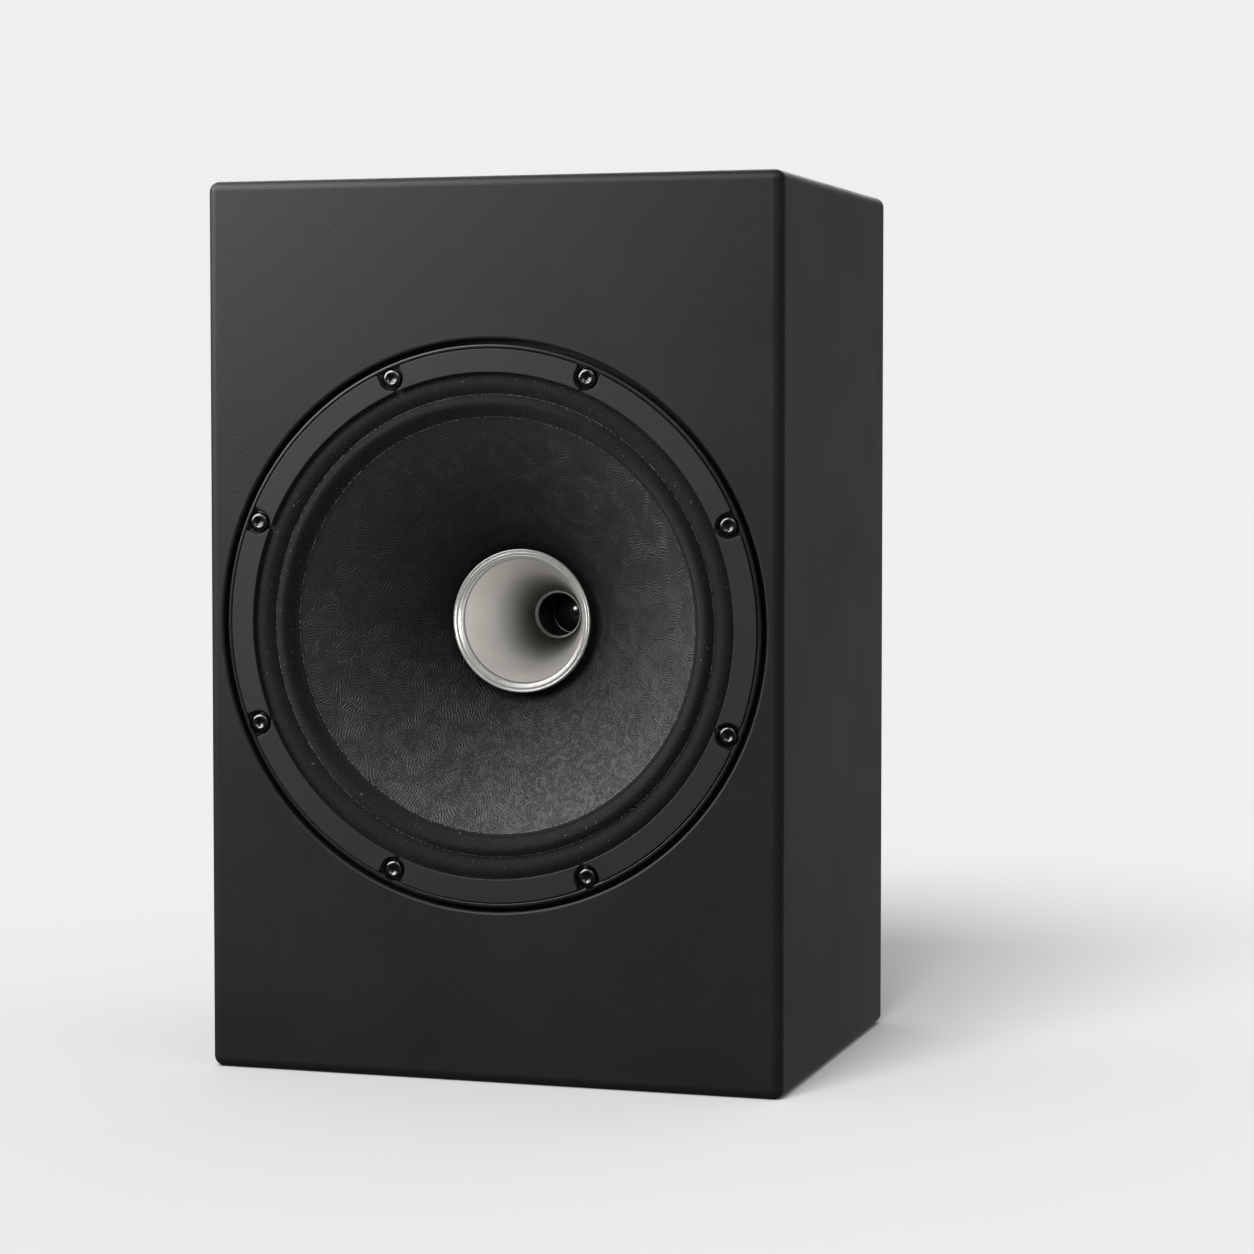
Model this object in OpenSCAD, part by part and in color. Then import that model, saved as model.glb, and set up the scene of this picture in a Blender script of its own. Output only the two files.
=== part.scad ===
// Sealed two-way loudspeaker with one coaxial driver.
// The box stands on z = 0, its front faces -Y, and the origin is under its middle.
// Driver pieces are drawn about the driver's axis: z = 0 is the plane of the
// front panel, +z points out of the box and every depth is a negative z.

/* [Cabinet] */
// Outer width of the box
cab_w = 340; // [336:1:440]
// Outer height of the box
cab_h = 510; // [480:1:660]
// Outer depth of the box
cab_d = 254; // [244:1:340]
// Radius of the outer edges
edge_r = 6; // [2:0.5:8]
// Thickness of the side, top, bottom and back panels
wall_t = 18; // [15:0.5:22]
// Thickness of the front panel
baffle_t = 24; // [20:0.5:30]
// Height of the driver's centre above the middle of the box
drv_rise = 3; // [-10:0.5:20]
// Thickness of the brace
brace_t = 15; // [9:0.5:20]
// Thickness of the foam sheets on the walls
foam_t = 20; // [10:1:26]

/* [Driver frame] */
// Outer radius of the driver's flange
flange_r = 158; // [150:0.5:160]
// Thickness of the flange
flange_t = 5; // [4:0.5:7]
// Width of the flange outside the basket's wall
flange_w = 15; // [13.5:0.5:18]
// Gap round the flange in its recess
recess_gap = 3; // [1:0.5:5]
// Thickness of the seal behind the flange
seal_t = 1.5; // [1:0.25:3]
// Thickness of the gasket pads on the flange
pad_t = 3; // [2:0.25:4]
// Thickness of the basket's wall
basket_wall = 2.4; // [2:0.2:3]
// Number of spokes in the basket
spokes = 12; // [8:1:12]
// Width of a spoke
spoke_w = 16; // [10:1:20]
// Distance of the bolt circle inside the flange's rim
bolt_inset = 7.5; // [7:0.25:8.5]
// Number of mounting screws
bolts = 8; // [4:1:12]
// Radius of a mounting screw's thread
bolt_r = 3; // [2.5:0.25:3]

/* [Cone and motor] */
// Width of the double-roll surround
roll_w = 23.1; // [20:0.1:26]
// Depth of the cone's outer edge
cone_edge_z = 9.3; // [8:0.1:12]
// Depth of the cone's neck
neck_z = 69; // [68:0.5:74]
// Thickness of the cone
cone_t = 1.2; // [0.8:0.1:1.5]
// Outer radius of the coil former
former_r = 38; // [37.5:0.25:46]
// Thickness of the coil former
former_t = 0.4; // [0.3:0.05:0.5]
// Thickness of the coil winding
winding_t = 1.2; // [0.8:0.1:1.6]
// Height of the coil winding
winding_h = 12; // [8:0.5:14]
// Radial gap between a moving coil and the steel beside it
coil_gap = 0.6; // [0.5:0.05:1]
// Thickness of the top plate
top_plate_t = 8; // [6:0.5:10]
// Outer radius of the top plate
top_plate_r = 95; // [92:0.5:98]
// Thickness of the ferrite ring
magnet_t = 20; // [15:1:24]
// Outer radius of the ferrite ring
magnet_r = 88; // [80:1:90]
// Thickness of the back plate
back_plate_t = 10; // [8:0.5:12]

/* [Horn and tweeter] */
// Outer radius of the horn's lip
horn_lip_r = 41.6; // [40:0.1:41.8]
// Radius of the horn's mouth inside the lip
horn_mouth_r = 36.2; // [34:0.1:36.6]
// Depth of the horn's lip
horn_lip_z = 57; // [55:0.5:57.5]
// Radius of the throat
throat_r = 13; // [11:0.25:13.5]
// Thickness of the horn's wall
horn_wall = 2.6; // [2:0.1:3]
// Radius of the tweeter's dome
dome_r = 12.5; // [11:0.25:14]
// Length of the throat tube behind the horn
tube_l = 24; // [18:1:30]

/* [Terminals] */
// Height of the terminal cup's centre
cup_z = 110; // [100:1:130]
// Width of the terminal cup's cavity
cup_w = 94; // [70:1:110]
// Height of the terminal cup's cavity
cup_h = 60; // [44:1:64]
// Depth of the terminal cup's cavity
cup_deep = 35; // [30:1:40]
// Wall thickness of the terminal cup
cup_t = 3; // [2:0.5:4]
// Distance between the two binding posts
post_gap = 19; // [18.5:0.1:30]
// Radius of a binding post's stud
stud_r = 3.5; // [3.25:0.05:4.2]
// Radius of the 4 mm plug socket in a stud
socket_r = 2; // [1.95:0.05:2.1]
// Radius of a binding post's cap
cap_r = 8; // [7:0.1:8.6]
// Length of a binding post's cap
cap_l = 16; // [12:0.5:17]

/* [Crossover] */
// Width of the crossover board
board_w = 170; // [160:1:200]
// Depth of the crossover board
board_d = 96; // [92:1:100]
// Height of the spacers under the board
spacer_h = 10; // [6:0.5:14]

/* [Hidden] */
$fn = 96;
glue = 0.05;
run_gap = 0.05;
front_y = -cab_d / 2;
drv_z = cab_h / 2 + drv_rise;
in_w = cab_w - 2 * wall_t;
in_front = front_y + baffle_t;
in_back = cab_d / 2 - wall_t;

// radii of the driver's frame
recess_r = flange_r + recess_gap;
recess_z = seal_t + flange_t + pad_t;
wall_r = flange_r - flange_w;
basket_r = wall_r - basket_wall;
cutout_r = wall_r + 0.8;
bolt_circle = flange_r - bolt_inset;
bolt_turn = 180 / bolts;
rim_w = 2;
rim_drop = 0.4;
washer_r = 6;
washer_t = 1;
head_r = 5.3;
head_h = 3.2;
seat_z = pad_t + 1.6;
hex_key_r = 2.3;
pad_in = basket_r + 1.8;
pad_out = flange_r - rim_w - 0.5;
notch_r = washer_r + 1.2;
slit_w = 2.4;
bolt_slack = 0.4;
nut_wall = 1;
nut_plate_t = 1.2;
nut_plate_r = 8.5;

// surround and cone
surround_t = 0.7;
surround_out = wall_r + 1.2;
ledge_z = pad_t + 1;
cone_r = pad_in - roll_w;
valley_r = cone_r + roll_w * 0.47;
valley_z = 6.2;
lap_w = 1.5;
cone_bow = 0.93;

// motor, front to back
spider_z = neck_z + 4.5;
spider_t = 0.7;
spider_wave = 1.4;
spider_turns = 5;
shelf_in = 78;
shelf_w = 8;
ring_z = neck_z + 12;
ring_t = 6;
ring_in = former_r + 8;
ring_out = top_plate_r + 3;
plate_z = ring_z + ring_t;
winding_z = plate_z + top_plate_t / 2 - winding_h / 2;
winding_r = former_r + winding_t;
gap_r = winding_r + coil_gap + 0.4;
pole_r = former_r - former_t - coil_gap;
magnet_z = plate_z + top_plate_t;
back_z = magnet_z + magnet_t;
yoke_z = back_z + back_plate_t;
frame_bolt_r = 2.5;
frame_bolts = 6;
frame_bolt_circle = shelf_in + shelf_w + 5;

// horn
throat_z = yoke_z + 2;
horn_end = yoke_z + 4;
horn_slack = 1;
neck_r = throat_r + 4.5;

// tweeter
flange_hf_r = 48;
flange_hf_t = 8;
hf_bolt_circle = 40;
hf_bolts = 4;
hf_bolt_r = 2.5;
tube_end = yoke_z + flange_hf_t + tube_l;
tube_wall = 3;
hf_disc_r = 34;
hf_disc_t = 4;
dome_t = 0.4;
dome_rise = 5;
hf_roll_w = 3.5;
hf_coil_h = 6;
hf_coil_t = 0.5;
hf_plate_z = tube_end + 1.2;
hf_plate_t = 4;
hf_magnet_t = 10;
hf_yoke_t = 5;
can_t = 1.5;
can_z = hf_plate_z + hf_plate_t + hf_magnet_t + hf_yoke_t + 2;

// terminal cup
cup_flange = 12;
cup_flange_t = 3;
cup_seal_t = 1;
cup_round = 8;
base_r = 8.5;
base_t = 3;
clamp_r = 6.5;
clamp_t = 1.5;
stud_out = base_t + clamp_t + cap_l - 0.5;
socket_l = 15;
wire_hole_r = 1.4;
nut_t = 4;
nut_af = 12;
lug_t = 0.8;
stud_in = cup_t + nut_t + lug_t + 5;
cup_screw_r = 1.75;
cup_screw_l = 12;

// crossover
board_t = 1.6;
board_y = 30;
board_z = wall_t + spacer_h;
spacer_r = 4;
board_screw_r = 1.5;
spacer_inset = 7;
parts_z = board_z + board_t;
choke_r = 28;
choke_h = 28;
choke_x = -48;
coil2_r = 17;
coil2_h = 20;
coil2_x = 12;
cap_lf_r = 14;
cap_lf_l = 50;
cap_hf_r = 10;
cap_hf_l = 34;
cap_hf_x = 4;
cap_lf_x = 60;
resistor_x = 37;
resistor_s = 10;
resistor_l = 30;
wire_r = 1.4;
wire_sides = 8;
wire_lift = 0.5;
brace_z = drv_z + flange_r + 2;

// ---------- helpers ----------

module on_driver() {
    translate([0, front_y, drv_z]) rotate([90, 0, 0]) children();
}

// Back of the box: local z points out of the back and local y points down.
module on_back(height) {
    translate([0, cab_d / 2, height]) rotate([-90, 0, 0]) children();
}

module turned(points) {
    rotate_extrude() polygon(points);
}

module ring(r_out, r_in, z_low, z_high) {
    translate([0, 0, z_low]) difference() {
        cylinder(r = r_out, h = z_high - z_low);
        translate([0, 0, -1]) cylinder(r = r_in, h = z_high - z_low + 2);
    }
}

module round_rect(w, h, r) {
    square([w - 2 * r, h], center = true);
    square([w, h - 2 * r], center = true);
    for (sx = [-1, 1], sy = [-1, 1])
        translate([sx * (w / 2 - r), sy * (h / 2 - r)]) circle(r = r);
}

module block(low, high) {
    translate(low) cube(high - low);
}

module around(count, radius, turn = 0) {
    for (i = [0 : count - 1])
        rotate([0, 0, turn + i * 360 / count]) translate([radius, 0, 0]) children();
}

// Slab with its outer face on z = 0 and all the edges of that face rounded.
module end_slab(w, h, t, r) {
    deep = t + r;
    intersection() {
        translate([0, 0, -t]) linear_extrude(t) round_rect(w, h, r);
        rotate([90, 0, 0]) translate([0, 0, -h])
            linear_extrude(2 * h) translate([0, -deep]) round_rect(w, 2 * deep, r);
        rotate([0, -90, 0]) translate([0, 0, -w])
            linear_extrude(2 * w) translate([-deep, 0]) round_rect(2 * deep, h, r);
    }
}

function unit(v) = v / norm(v);

// Tube swept along a route that never runs along X.
module wire(route, r) {
    last = len(route) - 1;
    dir = [for (i = [0 : last])
        unit(route[min(i + 1, last)] - route[max(i - 1, 0)])];
    points = [for (i = [0 : last])
        let (side = unit(cross(dir[i], [1, 0, 0])), up = cross(side, dir[i]))
        for (k = [0 : wire_sides - 1])
            let (a = k * 360 / wire_sides) route[i] + r * (cos(a) * side + sin(a) * up)];
    sides = [for (i = [0 : last - 1], k = [0 : wire_sides - 1])
        let (n = (k + 1) % wire_sides, a = i * wire_sides)
        [a + k, a + n, a + wire_sides + n, a + wire_sides + k]];
    first_cap = [for (k = [wire_sides - 1 : -1 : 0]) k];
    last_cap = [for (k = [0 : wire_sides - 1]) last * wire_sides + k];
    polyhedron(points, concat([first_cap], sides, [last_cap]), convexity = 4);
}

// Smooth curve through four points, as a list of points.
function bezier(p, steps) = [for (i = [0 : steps])
    let (t = i / steps, s = 1 - t)
    s * s * s * p[0] + 3 * s * s * t * p[1] + 3 * s * t * t * p[2] + t * t * t * p[3]];

// ---------- cabinet ----------

module front_panel() {
    color("#343434") on_driver() difference() {
        translate([0, -drv_rise, 0]) end_slab(cab_w, cab_h, baffle_t, edge_r);
        translate([0, 0, -recess_z]) cylinder(r = recess_r, h = recess_z + 1);
        translate([0, 0, -baffle_t - 1]) cylinder(r = cutout_r, h = baffle_t + 2);
        around(bolts, bolt_circle, bolt_turn)
            translate([0, 0, -baffle_t - 1])
                cylinder(r = bolt_r + bolt_slack + nut_wall, h = baffle_t + 2);
    }
}

module side_panel(side) {
    color("#383838") translate([0, in_back, cab_h / 2]) rotate([90, 0, 0])
        linear_extrude(in_back - in_front) intersection() {
            round_rect(cab_w, cab_h, edge_r);
            translate([side * (cab_w - wall_t) / 2, 0]) square([wall_t, cab_h], center = true);
        }
}

module left_panel() { side_panel(-1); }
module right_panel() { side_panel(1); }

module top_panel() {
    color("#303030")
        block([-in_w / 2, in_front, cab_h - wall_t], [in_w / 2, in_back, cab_h]);
}

module bottom_panel() {
    color("#303030") difference() {
        block([-in_w / 2, in_front, 0], [in_w / 2, in_back, wall_t]);
        at_board_corners(wall_t - 10) cylinder(r = board_screw_r, h = 11);
    }
}

module back_panel() {
    rebate = cup_flange_t + cup_seal_t;
    color("#303030") difference() {
        on_back(cab_h / 2) end_slab(cab_w, cab_h, wall_t, edge_r);
        on_back(cup_z) {
            translate([0, 0, -wall_t - 1]) linear_extrude(wall_t + 2)
                round_rect(cup_w + 2 * cup_t + 1, cup_h + 2 * cup_t + 1, cup_round);
            translate([0, 0, -rebate]) linear_extrude(rebate + 1)
                round_rect(cup_w + 2 * cup_flange + 1, cup_h + 2 * cup_flange + 1, cup_round);
            at_cup_screws() translate([0, 0, -cup_screw_l - rebate])
                cylinder(r = cup_screw_r, h = cup_screw_l + rebate);
        }
    }
}

// Shelf across the box above the driver, with one large window.
module brace() {
    margin = 40;
    color("#c9b48f") translate([0, (in_front + in_back) / 2, brace_z]) linear_extrude(brace_t)
        difference() {
            square([in_w, in_back - in_front], center = true);
            round_rect(in_w - 2 * margin, in_back - in_front - 2 * margin, 12);
        }
}

module side_foam(side) {
    low_z = 60;
    x_wall = side * in_w / 2;
    x_free = side * (in_w / 2 - foam_t);
    color("#55585c") block(
        [min(x_wall, x_free), front_y + neck_z, low_z],
        [max(x_wall, x_free), in_back - foam_t - 2, brace_z - 4]);
}

module left_foam() { side_foam(-1); }
module right_foam() { side_foam(1); }

module top_foam() {
    color("#55585c") block(
        [-in_w / 2 + 5, in_front + 5, cab_h - wall_t - foam_t],
        [in_w / 2 - 5, in_back - 5, cab_h - wall_t]);
}

module back_foam() {
    color("#55585c") block(
        [-in_w / 2 + 5, in_back - foam_t, cup_z + cup_h / 2 + 25],
        [in_w / 2 - 5, in_back, brace_z - 4]);
}

// ---------- driver frame ----------

module bolt_holes(z_low, z_high) {
    around(bolts, bolt_circle, bolt_turn)
        translate([0, 0, z_low]) cylinder(r = bolt_r + bolt_slack, h = z_high - z_low);
}

module flange_seal() {
    color("#1b1b1b") on_driver() difference() {
        ring(flange_r - 0.5, cutout_r, -recess_z, -recess_z + seal_t);
        bolt_holes(-recess_z - 1, 0);
    }
}

module spoke() {
    drop = 62;
    foot = ring_out - 8;
    color("#2a2a2c") rotate([90, 0, 0]) translate([0, 0, -spoke_w / 2]) linear_extrude(spoke_w)
        polygon([
            [basket_r, -12], [wall_r, -12], [wall_r, -20], [ring_out, -drop - 6],
            [ring_out, -plate_z + 1], [foot, -plate_z + 1], [foot, -drop + 2], [basket_r, -17]
        ]);
}

module basket() {
    shelf_z = spider_z + spider_t / 2 + glue;
    color("#2a2a2c") on_driver() difference() {
        union() {
            turned([
                [basket_r, -ledge_z], [surround_out + 0.1, -ledge_z], [surround_out + 0.1, -pad_t],
                [flange_r - rim_w, -pad_t], [flange_r - rim_w, -rim_drop], [flange_r, -rim_drop],
                [flange_r, -pad_t - flange_t], [wall_r, -pad_t - flange_t],
                [wall_r, -21], [basket_r, -21]
            ]);
            turned([
                [ring_in, -plate_z], [ring_out, -plate_z], [ring_out, -ring_z],
                [shelf_in + shelf_w, -ring_z], [shelf_in + shelf_w, -shelf_z],
                [shelf_in, -shelf_z], [shelf_in, -ring_z], [ring_in, -ring_z]
            ]);
            for (i = [0 : spokes - 1]) rotate([0, 0, i * 360 / spokes]) spoke();
        }
        bolt_holes(-recess_z - 1, 0);
        around(bolts, bolt_circle, bolt_turn)
            translate([0, 0, -seat_z]) cylinder(r = washer_r + 0.3, h = seat_z);
        around(frame_bolts, frame_bolt_circle, 180 / spokes)
            translate([0, 0, -plate_z - 1]) cylinder(r = frame_bolt_r + 0.3, h = ring_t + 2);
    }
}

// Eight flat pads between the screws, parted by a notch round each screw.
module gasket_pads() {
    color("#3c3c3c") on_driver() difference() {
        ring(pad_out, pad_in, -pad_t, 0);
        around(bolts, bolt_circle, bolt_turn) translate([0, 0, -pad_t - 1]) {
            cylinder(r = notch_r, h = pad_t + 2);
            translate([0, -notch_r, 0]) cube([flange_w, 2 * notch_r, pad_t + 2]);
            translate([-2 * flange_w, -slit_w / 2, 0]) cube([2 * flange_w, slit_w, pad_t + 2]);
        }
    }
}

module driver_washers() {
    color("#26262a") on_driver() around(bolts, bolt_circle, bolt_turn)
        ring(washer_r, bolt_r + bolt_slack, -seat_z, -seat_z + washer_t);
}

module driver_screws() {
    under = -seat_z + washer_t;
    color("#151515") on_driver() around(bolts, bolt_circle, bolt_turn) difference() {
        union() {
            translate([0, 0, under]) cylinder(r = head_r, h = head_h);
            translate([0, 0, -baffle_t - 3]) cylinder(r = bolt_r, h = under + baffle_t + 3);
        }
        translate([0, 0, under + head_h - 2.4]) cylinder(r = hex_key_r, h = 3, $fn = 6);
    }
}

module tee_nuts() {
    barrel_l = 12;
    color("#b9b9b4") on_driver() around(bolts, bolt_circle, bolt_turn) difference() {
        union() {
            translate([0, 0, -baffle_t]) cylinder(r = bolt_r + bolt_slack + nut_wall, h = barrel_l);
            translate([0, 0, -baffle_t - nut_plate_t]) cylinder(r = nut_plate_r, h = nut_plate_t);
        }
        translate([0, 0, -baffle_t - 2]) cylinder(r = bolt_r + run_gap, h = barrel_l + 3);
    }
}

// ---------- cone, surround, spider and coil ----------

function cone_face(r) =
    -neck_z + (neck_z - cone_edge_z) * pow((r - former_r) / (cone_r - former_r), cone_bow);

// Points along a line that is lifted by a sine hump.
function hump(a, b, rise, steps) = [for (i = [1 : steps])
    let (t = i / steps) a + (b - a) * t + [0, rise * sin(180 * t)]];

module skin(line, t) {
    back_side = [for (i = [len(line) - 1 : -1 : 0]) line[i] - [0, t]];
    turned(concat(line, back_side));
}

module surround() {
    lift = surround_t + glue;
    start = [cone_r - lap_w, cone_face(cone_r - lap_w) + lift];
    cone_edge = [cone_r, cone_face(cone_r) + lift];
    lap_end = cone_edge + [0.6, 0];
    valley = [valley_r, -valley_z + surround_t];
    out_start = [pad_in - 1, -ledge_z + lift];
    out_end = [surround_out, -ledge_z + lift];
    line = concat([start, cone_edge, lap_end], hump(lap_end, valley, 5.2, 10),
        hump(valley, out_start, 2.9, 10), [out_end]);
    color("#141414") on_driver() skin(line, surround_t);
}

module cone() {
    steps = 10;
    neck = former_r + glue;
    line = [for (i = [0 : steps]) let (r = neck + (cone_r - neck) * i / steps) [r, cone_face(r)]];
    color("#1a1a1a") on_driver() skin(line, cone_t);
}

module coil_former() {
    color("#c79a5a") on_driver()
        ring(former_r, former_r - former_t, -winding_z - winding_h - 1, -neck_z + 0.5);
}

module voice_coil() {
    color("#b06a34") on_driver()
        ring(winding_r, former_r + glue, -winding_z - winding_h, -winding_z);
}

module spider() {
    wave_in = former_r + 5;
    wave_out = shelf_in - 1;
    steps = spider_turns * 4;
    wave = [for (i = [0 : steps])
        [wave_in + (wave_out - wave_in) * i / steps,
            -spider_z + spider_t / 2 + spider_wave * sin(90 * i)]];
    line = concat([[former_r + glue, -spider_z + spider_t / 2]], wave,
        [[shelf_in + shelf_w - 0.5, -spider_z + spider_t / 2]]);
    color("#9c7b3c") on_driver() skin(line, spider_t);
}

// ---------- motor ----------

module frame_screws() {
    color("#2b2b2b") on_driver() around(frame_bolts, frame_bolt_circle, 180 / spokes)
        difference() {
            union() {
                translate([0, 0, -ring_z]) cylinder(r = 4.4, h = 4);
                translate([0, 0, -plate_z - top_plate_t + 1])
                    cylinder(r = frame_bolt_r, h = ring_t + top_plate_t - 1);
            }
            translate([0, 0, -ring_z + 1.6]) cylinder(r = 2.3, h = 3, $fn = 6);
        }
}

module top_plate() {
    color("#55565a") on_driver() difference() {
        ring(top_plate_r, gap_r, -magnet_z, -plate_z);
        around(frame_bolts, frame_bolt_circle, 180 / spokes)
            translate([0, 0, -magnet_z + 0.5])
                cylinder(r = frame_bolt_r + run_gap, h = top_plate_t);
    }
}

module ferrite_magnet() {
    color("#3b3b3d") on_driver() ring(magnet_r, former_r + 10, -back_z, -magnet_z);
}

function horn_wall_at(z) = horn_mouth_r + (throat_r + 1.5 - horn_mouth_r)
    * (z - horn_lip_z - 3) / (throat_z - horn_lip_z - 3);

module yoke() {
    top_z = plate_z - 1;
    slack = horn_wall + horn_slack;
    color("#55565a") on_driver() difference() {
        turned([
            [horn_wall_at(top_z) + slack, -top_z], [pole_r, -top_z], [pole_r, -back_z],
            [magnet_r - 2, -back_z], [magnet_r - 2, -yoke_z],
            [neck_r + horn_slack, -yoke_z], [neck_r + horn_slack, -yoke_z + 8]
        ]);
        around(hf_bolts, hf_bolt_circle, 45)
            translate([0, 0, -yoke_z - 1]) cylinder(r = hf_bolt_r + run_gap, h = 9);
    }
}

module woofer_terminals() {
    // fibre board on the rim of the basket's ring, with two solder tags
    color("#7a5a36") on_driver() translate([0, -ring_out - 5, -plate_z + 1.5]) {
        cube([30, 10, 3], center = true);
        for (side = [-1, 1])
            translate([side * 9, -6, 2.1]) cube([6, 14, 1.2], center = true);
    }
}

// ---------- horn and tweeter ----------

module horn() {
    lip = -horn_lip_z;
    r_throat = throat_r + 1.5;
    color("#a8a59f") on_driver() turned([
        [horn_mouth_r, lip - 3], [horn_mouth_r + 0.6, lip - 1.6], [horn_mouth_r + 1.4, lip - 1.4],
        [horn_mouth_r + 2.2, lip - 0.4], [horn_mouth_r + 3.6, lip - 0.4], [horn_mouth_r + 4.2, lip],
        [horn_lip_r - 0.3, lip], [horn_lip_r, lip - 0.5], [horn_lip_r, lip - 2.3],
        [horn_mouth_r + 1, lip - 2.6 - 1.6],
        [horn_wall_at(plate_z) + horn_wall, -plate_z],
        [neck_r, -yoke_z + 8], [neck_r, -horn_end],
        [throat_r, -horn_end], [throat_r, -throat_z], [r_throat, -throat_z]
    ]);
}

module throat_tube() {
    front = -yoke_z;
    tube_r = throat_r + tube_wall;
    disc = -tube_end;
    color("#1c1c1e") on_driver() difference() {
        turned([
            [neck_r + 0.1, front], [flange_hf_r, front], [flange_hf_r, front - flange_hf_t],
            [tube_r, front - flange_hf_t], [tube_r, disc + hf_disc_t],
            [hf_disc_r, disc + hf_disc_t], [hf_disc_r, disc],
            [throat_r - 0.8, disc], [throat_r - 0.8, disc + 1.5], [throat_r, disc + 1.5],
            [throat_r, -horn_end - 0.1], [neck_r + 0.1, -horn_end - 0.1]
        ]);
        around(hf_bolts, hf_bolt_circle, 45)
            translate([0, 0, front - flange_hf_t - 1])
                cylinder(r = hf_bolt_r + 0.3, h = flange_hf_t + 2);
    }
}

module tweeter_screws() {
    head = -yoke_z - flange_hf_t;
    color("#2b2b2b") on_driver() around(hf_bolts, hf_bolt_circle, 45) difference() {
        union() {
            translate([0, 0, head - 5]) cylinder(r = 4.25, h = 5);
            translate([0, 0, head]) cylinder(r = hf_bolt_r, h = flange_hf_t + 7);
        }
        translate([0, 0, head - 6]) cylinder(r = 2.3, h = 3.5, $fn = 6);
    }
}

module tweeter_dome() {
    seat = -tube_end - 0.9;
    sphere_r = (dome_r * dome_r + dome_rise * dome_rise) / (2 * dome_rise);
    half = asin(dome_r / sphere_r);
    steps = 8;
    // the last point stays just off the axis
    dome = [for (i = [0 : steps]) let (a = half * i / steps)
        [max(sphere_r * sin(a), 0), seat - sphere_r * cos(half) + sphere_r * cos(a)]];
    roll = hump([dome_r, seat], [dome_r + hf_roll_w, seat], 0.5, 6);
    rim = [[dome_r + hf_roll_w + 3, seat]];
    color("#0e0e10") on_driver() skin(concat(dome, roll, rim), dome_t);
}

module tweeter_coil() {
    top = -tube_end - 0.9 - dome_t - glue;
    color("#b06a34") on_driver() ring(dome_r, dome_r - hf_coil_t, top - hf_coil_h, top);
}

module tweeter_top_plate() {
    color("#55565a") on_driver()
        ring(hf_disc_r - 2, dome_r + 1, -hf_plate_z - hf_plate_t, -hf_plate_z - 0.8);
}

module tweeter_magnet() {
    color("#8d8f94") on_driver() ring(hf_disc_r - 4, dome_r + 5,
        -hf_plate_z - hf_plate_t - hf_magnet_t, -hf_plate_z - hf_plate_t);
}

module tweeter_yoke() {
    seat = -hf_plate_z - hf_plate_t - hf_magnet_t;
    color("#55565a") on_driver() turned([
        [0, seat - hf_yoke_t], [hf_disc_r - 2, seat - hf_yoke_t], [hf_disc_r - 2, seat],
        [dome_r - 1.1, seat], [dome_r - 1.1, -hf_plate_z - 0.8], [0, -hf_plate_z - 0.8]
    ]);
}

module tweeter_can() {
    lip = -tube_end + hf_disc_t;
    inner = hf_disc_r + 0.3;
    color("#232326") on_driver() {
        turned([
            [0, -can_z], [inner, -can_z], [inner, lip], [inner + can_t, lip],
            [inner + can_t, -can_z - can_t], [0, -can_z - can_t]
        ]);
        for (side = [-1, 1]) translate([side * 8, 0, -can_z - can_t - 4])
            cube([5, 0.8, 8], center = true);
    }
}

// ---------- terminals ----------

module at_cup_screws() {
    inset = cup_flange / 2 + 0.5;
    for (sx = [-1, 1], sy = [-1, 1])
        translate([sx * (cup_w / 2 + inset), sy * (cup_h / 2 + inset), 0]) children();
}

module at_posts() {
    for (side = [-1, 1]) translate([side * post_gap / 2, 0, -cup_deep]) children();
}

module terminal_cup() {
    color("#1f1f21") on_back(cup_z) difference() {
        union() {
            translate([0, 0, -cup_flange_t]) linear_extrude(cup_flange_t)
                round_rect(cup_w + 2 * cup_flange, cup_h + 2 * cup_flange, cup_round);
            translate([0, 0, -cup_deep - cup_t]) linear_extrude(cup_deep)
                round_rect(cup_w + 2 * cup_t, cup_h + 2 * cup_t, cup_round);
        }
        translate([0, 0, -cup_deep]) linear_extrude(cup_deep + 1)
            round_rect(cup_w, cup_h, cup_round - cup_t);
        at_posts() translate([0, 0, -cup_t - 1]) cylinder(r = stud_r + run_gap, h = cup_t + 2);
        at_cup_screws() countersink(cup_flange_t + 1);
    }
}

module countersink(deep) {
    translate([0, 0, -deep]) cylinder(r = cup_screw_r + 0.2, h = deep + 1);
    turned([[0, 1], [4.2, 1], [4.2, 0], [0, -4.2]]);
}

module cup_seal() {
    low = -cup_flange_t - cup_seal_t;
    color("#2e2e30") on_back(cup_z) difference() {
        translate([0, 0, low]) linear_extrude(cup_seal_t)
            round_rect(cup_w + 2 * cup_flange, cup_h + 2 * cup_flange, cup_round);
        translate([0, 0, low - 1]) linear_extrude(cup_seal_t + 2)
            round_rect(cup_w + 2 * cup_t + 0.4, cup_h + 2 * cup_t + 0.4, cup_round);
        at_cup_screws() translate([0, 0, low - 1])
            cylinder(r = cup_screw_r + 0.2, h = cup_seal_t + 2);
    }
}

module cup_screws() {
    head = 3.8;
    end = -cup_flange_t - cup_seal_t - cup_screw_l + 1;
    slot_w = 1;
    color("#18181a") on_back(cup_z) at_cup_screws() difference() {
        turned([[0, -0.2], [head, -0.2], [cup_screw_r - run_gap, -head + cup_screw_r - 0.4],
            [cup_screw_r - run_gap, end], [0, end]]);
        for (turn = [0, 90]) rotate([0, 0, turn]) translate([-2, -slot_w / 2, -1.7])
            cube([4, slot_w, 2]);
    }
}

module post_bases() {
    color("#202022") on_back(cup_z) at_posts() ring(base_r, stud_r + run_gap, 0, base_t);
}

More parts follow.
